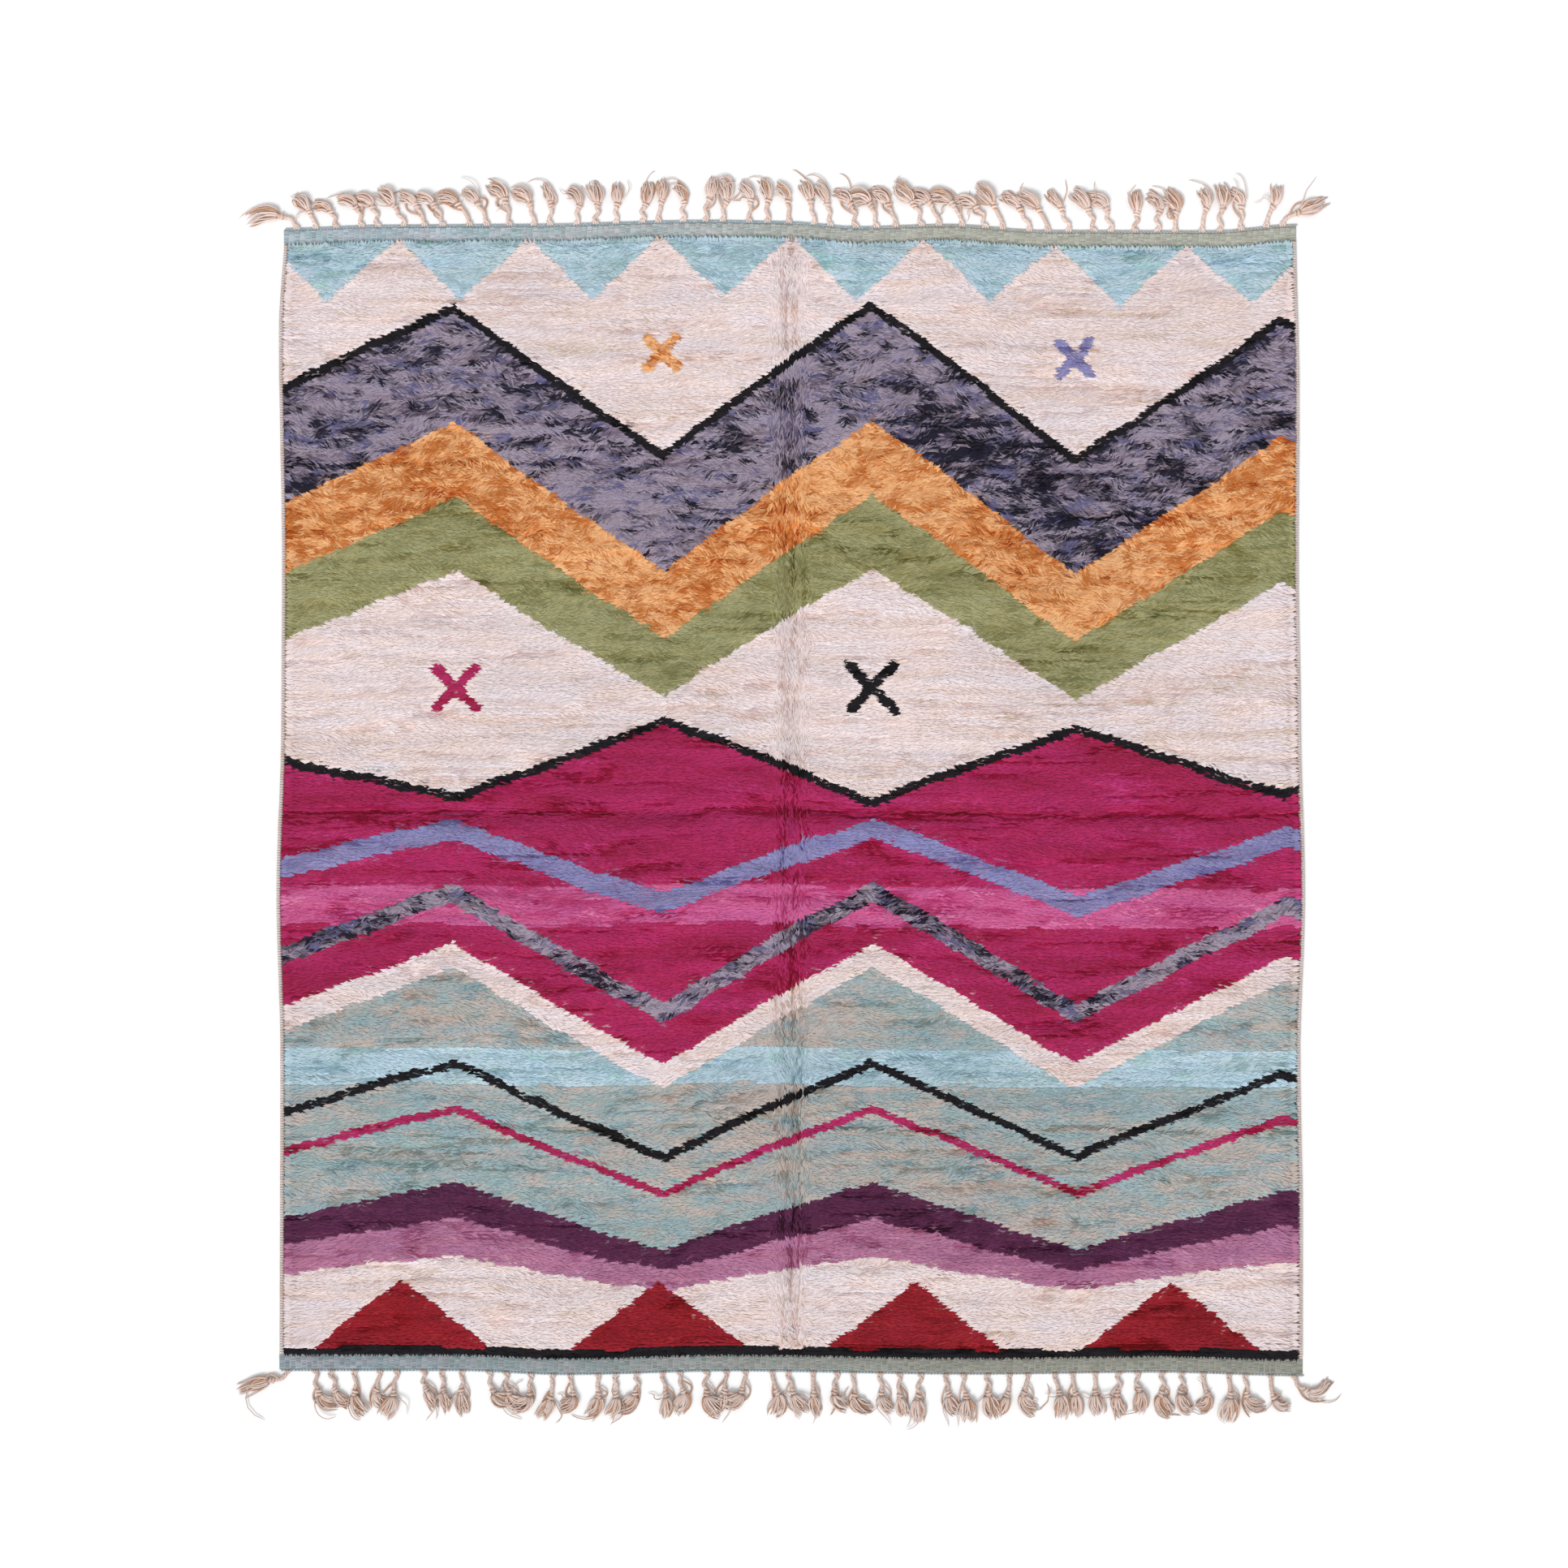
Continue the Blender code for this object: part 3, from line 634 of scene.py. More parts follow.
def knot_colours(x, y, yarn, draw):
    """Linear colour of each knot, with its yarn's marl, dye streaks and shade."""
    colours = np.zeros(x.shape + (4,))
    colours[..., 3] = 1
    for number, row in enumerate(YARNS.values()):
        main, second, third, second_share, third_share, across, along, sharp, patch = row
        streak = streaks(x, y, number, across, along, patch, draw)
        mix = np.clip(0.5 + sharp * (streak - 1 + 2 * second_share) * 0.5, 0, 1)[..., None]
        fleck = drift(x, y, across * FLECK_LENGTH, along, 230 + number)
        fleck += KNOT_STRAY * scattered(draw, x)
        fleck = np.clip(FLECK_SHARP * (fleck - 1 + 2 * third_share), 0, 1)[..., None]
        blend = linear(main) * (1 - mix) + linear(second) * mix
        blend = blend * (1 - fleck) + linear(third) * fleck
        here = yarn == number
        colours[here, :3] = blend[here]
    shade = 1 + KNOT_SHADE * scattered(draw, x)
    for strength, length, width, layer in SHADES:
        shade += strength * drift(x, y, length, width, layer)
    warm = drift(x, y, WARM_LENGTH, WARM_WIDTH, 73)
    colours[..., :3] *= shade[..., None] * (1 + warm[..., None] * np.array(WARMTH))
    return np.clip(colours, 0, 1)


def as_object(name, data):
    """Link a mesh, camera or light to the scene as an object in its own place."""
    made = bpy.data.objects.new(name, data)
    bpy.context.scene.collection.objects.link(made)
    return made


def dress(piece, slot, *nodes):
    """Let a finished piece ride on the rug's one body and stand for its solids."""
    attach(piece, "root")
    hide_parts(*nodes)
    return piece


def new_mesh(name, corners, faces, material=None):
    """A smooth mesh from its corners and faces."""
    mesh = bpy.data.meshes.new(name)
    mesh.from_pydata([tuple(c) for c in corners], [], [tuple(f) for f in faces])
    mesh.shade_smooth()
    if material:
        mesh.materials.append(material)
    return mesh


def set_attribute(mesh, name, kind, values, domain="POINT"):
    """Give a mesh a named attribute."""
    field = {"FLOAT_COLOR": "color", "FLOAT_VECTOR": "vector", "FLOAT": "value"}[kind]
    attribute = mesh.attributes.new(name, kind, domain)
    attribute.data.foreach_set(field, np.asarray(values, np.float32).ravel())


# Small shapes that are laid many times: their corners and faces.


def lock_shape():
    """A flattened lock of wool, one unit long and pointed at both ends, with a ridge."""
    corners = [(0, 0, 0), (0.55, 1, 0.46), (0.55, -1, 0.52), (-0.25, 0, 1)]
    faces = [(0, 1, 3), (0, 3, 2), (0, 2, 1), (1, 2, 3)]
    return corners, faces


def float_shape():
    """A weft float of a flat weave, one unit long: a pad along X with two rings of corners."""
    corners = [(-0.5, 0, 0)]
    for along in (-0.24, 0.24):
        corners += [(along, 0.5, 0), (along, 0, 0.5), (along, -0.5, 0), (along, 0, -0.5)]
    corners.append((0.5, 0, 0))
    faces = []
    for i in range(4):
        after = (i + 1) % 4
        faces.append((0, 1 + i, 1 + after))
        faces.append((1 + i, 5 + i, 5 + after, 1 + after))
        faces.append((9, 5 + after, 5 + i))
    return corners, faces


def wrap_shape():
    """One wrap of yarn round an edge cord: a ring of sections with four corners each."""
    corners = []
    faces = []
    for i in range(WRAP_SIDES):
        angle = 2 * math.pi * i / WRAP_SIDES
        slant = WRAP_SLANT * math.sin(angle)
        for push, along in ((1, 0), (0, 1), (-1, 0), (0, -1)):
            radius = SELVEDGE_RADIUS - WRAP_THICKNESS + push * WRAP_THICKNESS
            place = (math.cos(angle) * radius, along * WRAP_WIDTH + slant, math.sin(angle) * radius)
            corners.append(place)
        for j in range(4):
            k = (j + 1) % 4
            n = (i + 1) % WRAP_SIDES
            faces.append((4 * i + j, 4 * n + j, 4 * n + k, 4 * i + k))
    return corners, faces


def empty_tree():
    """A tree with the inputs that laying needs, and no nodes yet."""
    tree = bpy.data.node_groups.new("lay_yarn", "GeometryNodeTree")
    inputs = {
        "Points": "Geometry", "Shape": "Object", "Spin": "Float", "Seed": "Int",
        "Material": "Material",
    }
    for name, kind in inputs.items():
        tree.interface.new_socket(name, in_out="INPUT", socket_type="NodeSocket" + kind)
    tree.interface.new_socket("Geometry", in_out="OUTPUT", socket_type="NodeSocketGeometry")
    return tree


def lay_tree():
    """Lays one small shape at each point, turned, sized and coloured by the point."""
    tree = empty_tree()

    def node(kind, *links):
        made = tree.nodes.new(kind)
        for source, socket in links:
            tree.links.new(source, made.inputs[socket])
        return made

    def of_point(name):
        made = node("GeometryNodeInputNamedAttribute")
        made.data_type = "FLOAT_VECTOR"
        made.inputs["Name"].default_value = name
        return made.outputs["Attribute"]

    given = node("NodeGroupInput").outputs
    shape = node("GeometryNodeObjectInfo", (given["Shape"], "Object"))
    laid = node("FunctionNodeEulerToRotation", (of_point("turn"), "Euler"))
    less = node("ShaderNodeMath", (given["Spin"], 0))
    less.operation = "MULTIPLY"
    less.inputs[1].default_value = -1.0
    spin = node(
        "FunctionNodeRandomValue",
        (less.outputs[0], "Min"),
        (given["Spin"], "Max"),
        (given["Seed"], "Seed"),
    )
    about = node("FunctionNodeAxisAngleToRotation", (spin.outputs["Value"], "Angle"))
    turned = node(
        "FunctionNodeRotateRotation",
        (laid.outputs[0], "Rotation"),
        (about.outputs[0], "Rotate By"),
    )
    turned.rotation_space = "LOCAL"
    placed = node(
        "GeometryNodeInstanceOnPoints",
        (given["Points"], "Points"),
        (shape.outputs["Geometry"], "Instance"),
        (turned.outputs[0], "Rotation"),
        (of_point("size"), "Scale"),
    )
    real = node("GeometryNodeRealizeInstances", (placed.outputs[0], "Geometry"))
    done = node(
        "GeometryNodeSetMaterial",
        (real.outputs[0], "Geometry"),
        (given["Material"], "Material"),
    )
    node("NodeGroupOutput", (done.outputs[0], "Geometry"))
    return tree


def face_places(shape):
    """Flat places of a small shape's face corners, each face in a triangle of its own."""
    _, faces = shape
    places = []
    for number, face in enumerate(faces):
        left = number / len(faces)
        width = FACE_FILL / len(faces)
        if len(face) == 4:
            spots = ((left, 0), (left, 1), (left + width, 1), (left + width, 0))
        elif number % 2:
            spots = ((left, 0), (left + width, 0), (left + width / 2, 1))
        else:
            spots = ((left + width / 2, 0), (left + width, 1), (left, 1))
        places += spots
    return np.array(places)


def spread_flat(mesh, local, cell, count):
    """Lay each part's flat places, one a face corner, in the part's own cell of a square."""
    side = math.ceil(math.sqrt(count))
    corner = np.stack((cell % side, cell // side), axis=1)
    flat = (corner + CELL_MARGIN + CELL_FILL * local) / side
    layer = mesh.uv_layers.new(name="OFBake")
    layer.uv.foreach_set("vector", flat.astype(np.float32).ravel())


def lay_yarn(name, shape, places, turns, sizes, colours, material, spin=0.0, crisp=False):
    """One mesh of many small shapes, laid by Geometry Nodes; crisp ones keep flat faces."""
    pattern_piece = as_object(name + "_shape", new_mesh(name + "_shape", *shape))
    points = new_mesh(name + "_points", places, [])
    set_attribute(points, "turn", "FLOAT_VECTOR", turns)
    set_attribute(points, "size", "FLOAT_VECTOR", sizes)
    set_attribute(points, "yarn", "FLOAT_COLOR", colours)
    carrier = as_object(name + "_carrier", points)
    tree = bpy.data.node_groups.get("lay_yarn") or lay_tree()
    laying = carrier.modifiers.new("lay", "NODES")
    laying.node_group = tree
    inputs = {s.name: s.identifier for s in tree.interface.items_tree if s.in_out == "INPUT"}
    laying[inputs["Shape"]] = pattern_piece
    laying[inputs["Spin"]] = spin
    laying[inputs["Seed"]] = SEED
    laying[inputs["Material"]] = material
    graph = bpy.context.evaluated_depsgraph_get()
    mesh = bpy.data.meshes.new_from_object(carrier.evaluated_get(graph))
    mesh.name = name
    carrier.modifiers.remove(laying)
    bpy.data.objects.remove(carrier)
    bpy.data.objects.remove(pattern_piece)
    for spare in ("turn", "size"):
        if spare in mesh.attributes:
            mesh.attributes.remove(mesh.attributes[spare])
    if crisp:
        mesh.shade_flat()
    local = face_places(shape)
    cell = np.repeat(np.arange(len(places)), len(local))
    spread_flat(mesh, np.tile(local, (len(places), 1)), cell, len(places))
    return as_object(name, mesh)


# Materials.


def shader_node(material, kind, values=(), links=()):
    """Add a node, set its sockets and link them."""
    made = material.node_tree.nodes.new(kind)
    for socket, value in values:
        made.inputs[socket].default_value = value
    for source, socket in links:
        material.node_tree.links.new(source, made.inputs[socket])
    return made


def fibres(material, scale, stretch):
    """Fine noise along the wool, on the piece's own coordinates."""
    place = shader_node(material, "ShaderNodeTexCoord")
    links = [(place.outputs["Object"], "Vector")]
    stretched = shader_node(material, "ShaderNodeMapping", [("Scale", stretch)], links)
    values = [("Scale", scale), ("Detail", FIBRE_DETAIL), ("Roughness", FIBRE_ROUGHNESS)]
    links = [(stretched.outputs[0], "Vector")]
    return shader_node(material, "ShaderNodeTexNoise", values, links).outputs[0]


def wool(name, scale, stretch, contrast, relief, sheen):
    """Matt wool in the colour each piece carries, the yarn's own with painted light and shade where a
    piece has them, and fine fibres in its shade and relief.
    """
    material = bpy.data.materials.new(name)
    material.use_nodes = True
    shader = material.node_tree.nodes["Principled BSDF"]
    yarn = shader_node(material, "ShaderNodeAttribute")
    yarn.attribute_name = "yarn"
    fibre = fibres(material, scale, stretch)
    values = [("From Min", FIBRE_LOW), ("From Max", FIBRE_HIGH)]
    values += [("To Min", 1 - contrast), ("To Max", 1 + contrast)]
    shade = shader_node(material, "ShaderNodeMapRange", values, [(fibre, "Value")])
    links = [(yarn.outputs["Color"], 0), (shade.outputs[0], 1)]
    tinted = shader_node(material, "ShaderNodeVectorMath", links=links)
    tinted.operation = "MULTIPLY"
    values = [("Strength", relief), ("Distance", FIBRE_DEPTH)]
    raised_fibre = shader_node(material, "ShaderNodeBump", values, [(fibre, "Height")])
    material.node_tree.links.new(tinted.outputs[0], shader.inputs["Base Color"])
    material.node_tree.links.new(raised_fibre.outputs[0], shader.inputs["Normal"])
    shader.inputs["Roughness"].default_value = WOOL_ROUGHNESS
    shader.inputs["Specular IOR Level"].default_value = WOOL_SHINE
    shader.inputs["Sheen Weight"].default_value = sheen
    shader.inputs["Sheen Roughness"].default_value = SHEEN_ROUGHNESS
    return material


# Pile.


def lock_grid():
    """Places of all locks in the plain rectangle, row by row, each second row half a step on."""
    rows = int(2 * FIELD_HALF_LENGTH / LOCK_ROW)
    columns = int(2 * FIELD_HALF_WIDTH / LOCK_PITCH)
    row, column = np.meshgrid(np.arange(rows), np.arange(columns), indexing="ij")
    x = (column + 0.25 + 0.5 * (row % 2)) * 2 * FIELD_HALF_WIDTH / columns - FIELD_HALF_WIDTH
    y = (row + 0.5) * 2 * FIELD_HALF_LENGTH / rows - FIELD_HALF_LENGTH
    return x, y


def lock_headings(x, y, yarn, draw):
    """Direction of each lock, in radians: along its row, tousled, or along a crease near one."""
    near_side = ease(1 - (FIELD_HALF_WIDTH - abs(x)) / SIDE_LEAN)
    share = 2 * LIE_LEFT - 1 - SIDE_PULL * np.sign(x) * near_side
    left = drift(x, y, *LEAN_PATCH) * PATCH_LEAN + scattered(draw, x) < share
    turn = math.radians(LOCK_TURN)
    heading = np.where(left, math.pi, 0.0) + turn * drift(x, y, *TURN_PATCH)
    heading += TURN_STRAY * turn * scattered(draw, x)
    swirl = PATCH_SWIRL * drift(x, y, *SWIRL_PATCH) + LOCK_SWIRL * scattered(draw, x)
    for name, tousled in TOUSLED.items():
        heading += tousled * swirl * (yarn == YARN_NAMES.index(name))
    for axis, off, half_width, fade, depth in creases(x, y):
        if axis == "Y":
            off = off + FOLD_WANDER * drift(x, y, *FOLD_PATCH)
            near = ease((FOLD_REACH + FOLD_EDGE - abs(off)) / FOLD_EDGE) * fade
            upright = math.pi / 2 * np.where(scattered(draw, x) > 0, 1, -1)
            upright += UPRIGHT_STRAY * scattered(draw, x)
            heading = np.where(draw.uniform(0, 1, x.shape) < near, upright, heading)
    outward = np.sign(y) * math.pi / 2 + OUTWARD_STRAY * scattered(draw, x)
    return np.where(abs(y) > FIELD_HALF_LENGTH - END_TURN, outward, heading)


def loose_contour(x, y):
    """A wavy field whose zero lines are the loose partings."""
    fine = drift(x, y, LOOSE_FINE_LENGTH, LOOSE_PITCH, 86)
    return drift(x, y, LOOSE_LENGTH, LOOSE_PITCH, 85) + LOOSE_FINE * fine


def loose_partings(x, y):
    """How open the loose partings are at each place, and the painted light and shade of their sides:
    lighter on one slope, darker on the other.
    """
    least, change = LOOSE_SHOWN
    shown = ease(least + change * drift(x, y, LOOSE_LENGTH, LOOSE_PITCH, 87))
    off = loose_contour(x, y) * LOOSE_PITCH / LOOSE_WIDTH
    open_here = LOOSE_DEPTH * shown * np.exp(-(off**2))
    rising = np.sign(loose_contour(x, y + LOOSE_WIDTH) - loose_contour(x, y - LOOSE_WIDTH))
    return open_here, shown * rising * off * np.exp(-((off / LOOSE_SLOPE) ** 2))


def line_parting(number, row, across, along):
    """How open one long parting is at each place, and how far it pushes locks aside."""
    at, wander, depth, share = row
    line = at
    for part, length, layer in PARTING_WAVES:
        line = line + part * wander * drift(along, along * 0, length, 1.0, layer + number)
    shown = drift(along, along * 0, BREAK_LENGTH, 1.0, 140 + number) - 1 + 2 * share
    broken = ease(BREAK_SHARP * shown)
    off = (across - line) / PARTING_WIDTH
    push = PARTING_PUSH * depth * broken * np.sign(off) * np.exp(-((off / 2) ** 2))
    return depth * broken * np.exp(-(off**2)), push


def partings(x, y):
    """Shift of locks from the partings, how open each place is, and the painted light and shade of its
    slope.
    """
    shift_x = np.zeros(x.shape)
    shift_y = np.zeros(x.shape)
    for height, length, width, layer in ROW_WAVES:
        shift_y = shift_y + height * drift(x, y, length, width, layer)
    open_here, slope = loose_partings(x, y)
    for number, (axis, *row) in enumerate(PARTINGS):
        if axis == "Y":
            near, push = line_parting(number, row, x, y)
            shift_x = shift_x + push
        else:
            near, push = line_parting(number, row, y, x)
            shift_y = shift_y + push
        open_here = np.maximum(open_here, near)
    return shift_x, shift_y, open_here, slope


def with_painted_shading(colours, x, y, open_here, slope):
    """Colours with painted shade deepening the partings, and painted light and shade on the slopes beside
    them and on the creases' slopes.
    """
    opened = open_here[..., None]
    # Painted shade: colours darker, deeper and warmer where a parting opens.
    deep = colours[..., :3] ** (1 + PARTING_SHADE_DEPTH * opened)
    deep = deep * (1 - opened * (1 - np.array(PARTING_SHADE_TINT)))
    # Painted light and shade: lighter or darker on the slopes beside the partings.
    tone = 1 + PARTING_SLOPE_LIGHT_SHADE * slope
    # Painted light and shade on the creases' slopes, lighter or darker.
    shown, change, length = CREASE_LIGHT_SHADE_SHOWN
    for axis, at, width, strength in CREASE_LIGHT_SHADE:
        across, along = (x, y) if axis == "Y" else (y, x)
        strength = strength * (shown + change * drift(along, along * 0, length, 1.0, 88))
        tone = tone + strength * np.exp(-(((across - at) / width) ** 2))
    made = colours.copy()
    made[..., :3] = np.clip(deep * tone[..., None], 0, 1)
    return made


def clear_share(x, y, run_x, run_y, yarn):
    """Share of a lock's half that lies over knots of its own yarn."""
    clear = np.full(x.shape, BORDER_SHARES[0])
    for share in BORDER_SHARES[1:]:
        clear = np.where(pattern(x + share * run_x, y + share * run_y) == yarn, share, clear)
    return clear


def lock_ends(x, y, yarn, heading, parted, draw):
    """Where each lock starts and ends, and whether a border cuts it short."""
    shift_x, shift_y, open_here, _ = parted
    across = x + shift_x + STRAY_ACROSS * scattered(draw, x)
    inside = (pattern(x, y + LOCK_ROW) == yarn) & (pattern(x, y - LOCK_ROW) == yarn)
    loose = np.where(inside, 1 - PARTED_STRAY * open_here, BORDER_STRAY)
    along = y + shift_y * np.where(inside, 1.0, BORDER_STRAY)
    along = along + STRAY_ALONG * loose * scattered(draw, x)
    reach = LOCK_REACH * (1 + REACH_STRAY * scattered(draw, x))
    run_x = np.cos(heading) * reach / 2
    run_y = np.sin(heading) * reach / 2
    ahead = clear_share(x, y, run_x, run_y, yarn)
    behind = clear_share(x, y, -run_x, -run_y, yarn)
    short = ahead + behind < SHORT_BELOW
    wide, tall = FIELD_HALF_WIDTH, FIELD_HALF_LENGTH
    tip_x = np.clip(across + run_x * ahead, -wide - LEFT_REACH, wide + RIGHT_REACH)
    tip_y = np.clip(along + run_y * ahead, -tall - END_REACH, tall + END_REACH)
    root_x = np.clip(across - run_x * behind, ROOT_MARGIN - wide, wide - ROOT_MARGIN)
    root_y = np.clip(along - run_y * behind, ROOT_MARGIN - tall, tall - ROOT_MARGIN)
    tip_z = pile_top(tip_x, tip_y) - TIP_DEPTH + STRAY_UP * scattered(draw, x)
    tip_z = tip_z - PARTING_DROP * open_here
    tip_z = np.maximum(tip_z, (2 * SELVEDGE_RADIUS + EDGE_COVER) * (abs(tip_x) > wide))
    root_z = pile_top(root_x, root_y) - PILE_HEIGHT + LOCK_ROOT + BORDER_RISE * short
    start = np.stack((*lie(root_x, root_y), np.maximum(root_z, LEAST_ROOT)), axis=-1)
    end = np.stack((*lie(tip_x, tip_y), tip_z), axis=-1)
    return start, end, short


def pile_locks(material):
    """The cut pile: rows of wool locks, in zones along the rug."""
    draw = np.random.default_rng(SEED)
    x, y = lock_grid()
    yarn = knotted_yarn(x, y, draw)
    colours = knot_colours(x, y, yarn, draw)
    heading = lock_headings(x, y, yarn, draw)
    parted = partings(x, y)
    _, _, open_here, slope = parted
    # Painted shade in the partings, and painted light and shade on their slopes and on the creases'
    # slopes.
    colours = with_painted_shading(colours, x, y, open_here, slope)
    start, end, short = lock_ends(x, y, yarn, heading, parted, draw)
    span = end - start
    length = np.linalg.norm(span, axis=-1)
    tilt = np.arccos(span[..., 2] / length)
    turns = np.stack((0 * tilt, tilt, np.arctan2(span[..., 1], span[..., 0])), axis=-1)
    full = 1 + FULLNESS_STRAY * scattered(draw, x)
    wide = LOCK_WIDTH * full * (1 - PARTING_THIN * open_here) * np.where(short, BORDER_FULL, 1)
    sizes = np.stack((LOCK_THICKNESS * full, wide, length), axis=-1)
    pieces = []
    for number, rows in enumerate(np.array_split(np.arange(x.shape[0]), PILE_ZONES)):
        name = f"pile_zone_{number + 1}"
        tables = (start, turns, sizes, colours)
        laid = [table[rows].reshape(-1, table.shape[-1]) for table in tables]
        pieces.append(lay_yarn(name, lock_shape(), *laid, material, spin=LOCK_SPIN, crisp=True))
    return pieces


def slab_mesh(name, columns, rows, top_of, bottom, material):
    """A closed slab over grid lines, with its corners' places in the plain rectangle."""
    x, y = np.meshgrid(columns, rows)
    lies_x, lies_y = lie(x, y)
    top = np.stack((lies_x, lies_y, top_of(x, y)), axis=-1).reshape(-1, 3)
    wide = len(columns)
    tall = len(rows)
    rim = list(range(wide))
    rim += [j * wide + wide - 1 for j in range(1, tall)]
    rim += [(tall - 1) * wide + i for i in range(wide - 2, -1, -1)]
    rim += [j * wide for j in range(tall - 2, 0, -1)]
    under = top[rim].copy()
    under[:, 2] = bottom
    first = len(top)
    faces = []
    for j in range(tall - 1):
        for i in range(wide - 1):
            a = j * wide + i
            faces.append((a, a + 1, a + wide + 1, a + wide))
    for i, corner in enumerate(rim):
        k = (i + 1) % len(rim)
        faces.append((corner, first + i, first + k, rim[k]))
    faces.append(tuple(first + i for i in range(len(rim) - 1, -1, -1)))
    mesh = new_mesh(name, np.concatenate((top, under)), faces, material)
    plan_x, plan_y = (np.concatenate((plan.ravel(), plan.ravel()[rim])) for plan in (x, y))
    return mesh, plan_x, plan_y


def bed_lines(half, count, axis):
    """Grid lines of the lower pile: even ones and those of the creases along one axis."""
    own = [-half + PILE_RIM_WIDTH, half - PILE_RIM_WIDTH]
    for runs, at, _, _, _, half_width in FOLDS:
        if runs == axis:
            own += [at - half_width, at, at + half_width]
    if axis == "X":
        own += [EDGE_LINE[1] - PARTING, EDGE_LINE[1] + PARTING]
    even = np.linspace(-half, half, count)
    return sorted(own + [e for e in even if min(abs(e - c) for c in own) > half / count])


def pile_bed(material):
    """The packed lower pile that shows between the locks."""
    draw = np.random.default_rng(SEED + 1)
    columns = bed_lines(FIELD_HALF_WIDTH, BED_COLUMNS, "Y")
    rows = bed_lines(FIELD_HALF_LENGTH, BED_ROWS, "X")

    def top_of(x, y):
        depth = BED_DEPTH + BED_RIM_DEPTH * np.clip(2 - rims_inside(x, y), 0, 1)
        for _, off, half_width, fade, _ in creases(x, y):
            depth = depth + BED_CREASE_DEPTH * fade * np.maximum(0, 1 - abs(off) / half_width)
        return pile_top(x, y) - depth + BED_ROUGHNESS * scattered(draw, x)

    bottom = GROUND_THICKNESS + PARTING
    mesh, x, y = slab_mesh("pile_bed", columns, rows, top_of, bottom, material)
    colours = knot_colours(x, y, knotted_yarn(x, y, draw), draw)
    # Painted shade: the lower pile is darkened where it shows between the locks.
    colours[..., :3] *= BED_PAINTED_SHADE
    set_attribute(mesh, "yarn", "FLOAT_COLOR", colours)
    return as_object("pile_bed", mesh)


def level_top(height):
    """Top of a slab that is level."""
    return lambda x, y: np.full(x.shape, height)


def ground_cloth(material):
    """The flat ground weave under the pile, with the backs of the knots on its underside."""
    columns = np.linspace(-FIELD_HALF_WIDTH, FIELD_HALF_WIDTH, GROUND_COLUMNS)
    rows = np.linspace(-FIELD_HALF_LENGTH, FIELD_HALF_LENGTH, GROUND_ROWS)
    draw = np.random.default_rng(SEED + 2)
    level = level_top(GROUND_THICKNESS)
    mesh, x, y = slab_mesh("ground_cloth", columns, rows, level, 0.0, material)
    set_attribute(mesh, "yarn", "FLOAT_COLOR", knot_colours(x, y, pattern(x, y), draw))
    return as_object("ground_cloth", mesh)


def mixed(colours, x, y, draw, across, along, layer):
    """Colours drifting between the three of a short table."""
    first, second, third = (linear(c) for c in colours)
    one = 0.5 + 0.5 * drift(x, y, across, along, layer) + MIX_STRAY * scattered(draw, x)
    one = np.clip(one, 0, 1)[..., None]
    level, change, longer = THIRD_MIX
    two = level + change * drift(x, y, across * longer, along * longer, layer + 1)
    two = 0.5 * np.clip(two, 0, 1)[..., None]
    mix = first * (1 - one) + second * one
    mix = mix * (1 - two) + third * two
    return np.concatenate((mix, np.ones(x.shape + (1,))), axis=-1)


def band_colours(x, y, side, draw, layer):
    """Mottled colours of a band, turning from aqua on the left to sage on the right, with painted shade
    on the bottom band.
    """
    mottled = mixed(BAND_COLOURS, x, y, draw, MOTTLE_LENGTH, MOTTLE_WIDTH, layer)
    place = x + SAGE_WANDER * drift(x, y, SAGE_WAVE, 1.0, layer + 5)
    turned = ease((place - SAGE_FROM) / (SAGE_TO - SAGE_FROM))
    sage = (SAGE_SHARE * turned)[..., None]
    mottled[..., :3] = mottled[..., :3] * (1 - sage) + linear(BAND_SAGE) * sage
    mottled[..., :3] *= (1 + BAND_SHADE * scattered(draw, x))[..., None]
    # Painted shade: the bottom band's colours are darkened.
    if side < 0:
        mottled[..., :3] *= BOTTOM_BAND_PAINTED_SHADE
    return mottled


def band_cloth(name, side, material, draw):
    """The thin cloth of a band, under its ribs."""
    edges = (side * (HALF_LENGTH - BAND_WIDTH), side * HALF_LENGTH)
    lines = sorted((edges[0], (edges[0] + edges[1]) / 2, edges[1]))
    mesh, x, y = slab_mesh(name, BAY_EDGES, lines, level_top(BAND_CLOTH), 0.0, material)
    set_attribute(mesh, "yarn", "FLOAT_COLOR", band_colours(x, y, side, draw, 90))
    return as_object(name, mesh)


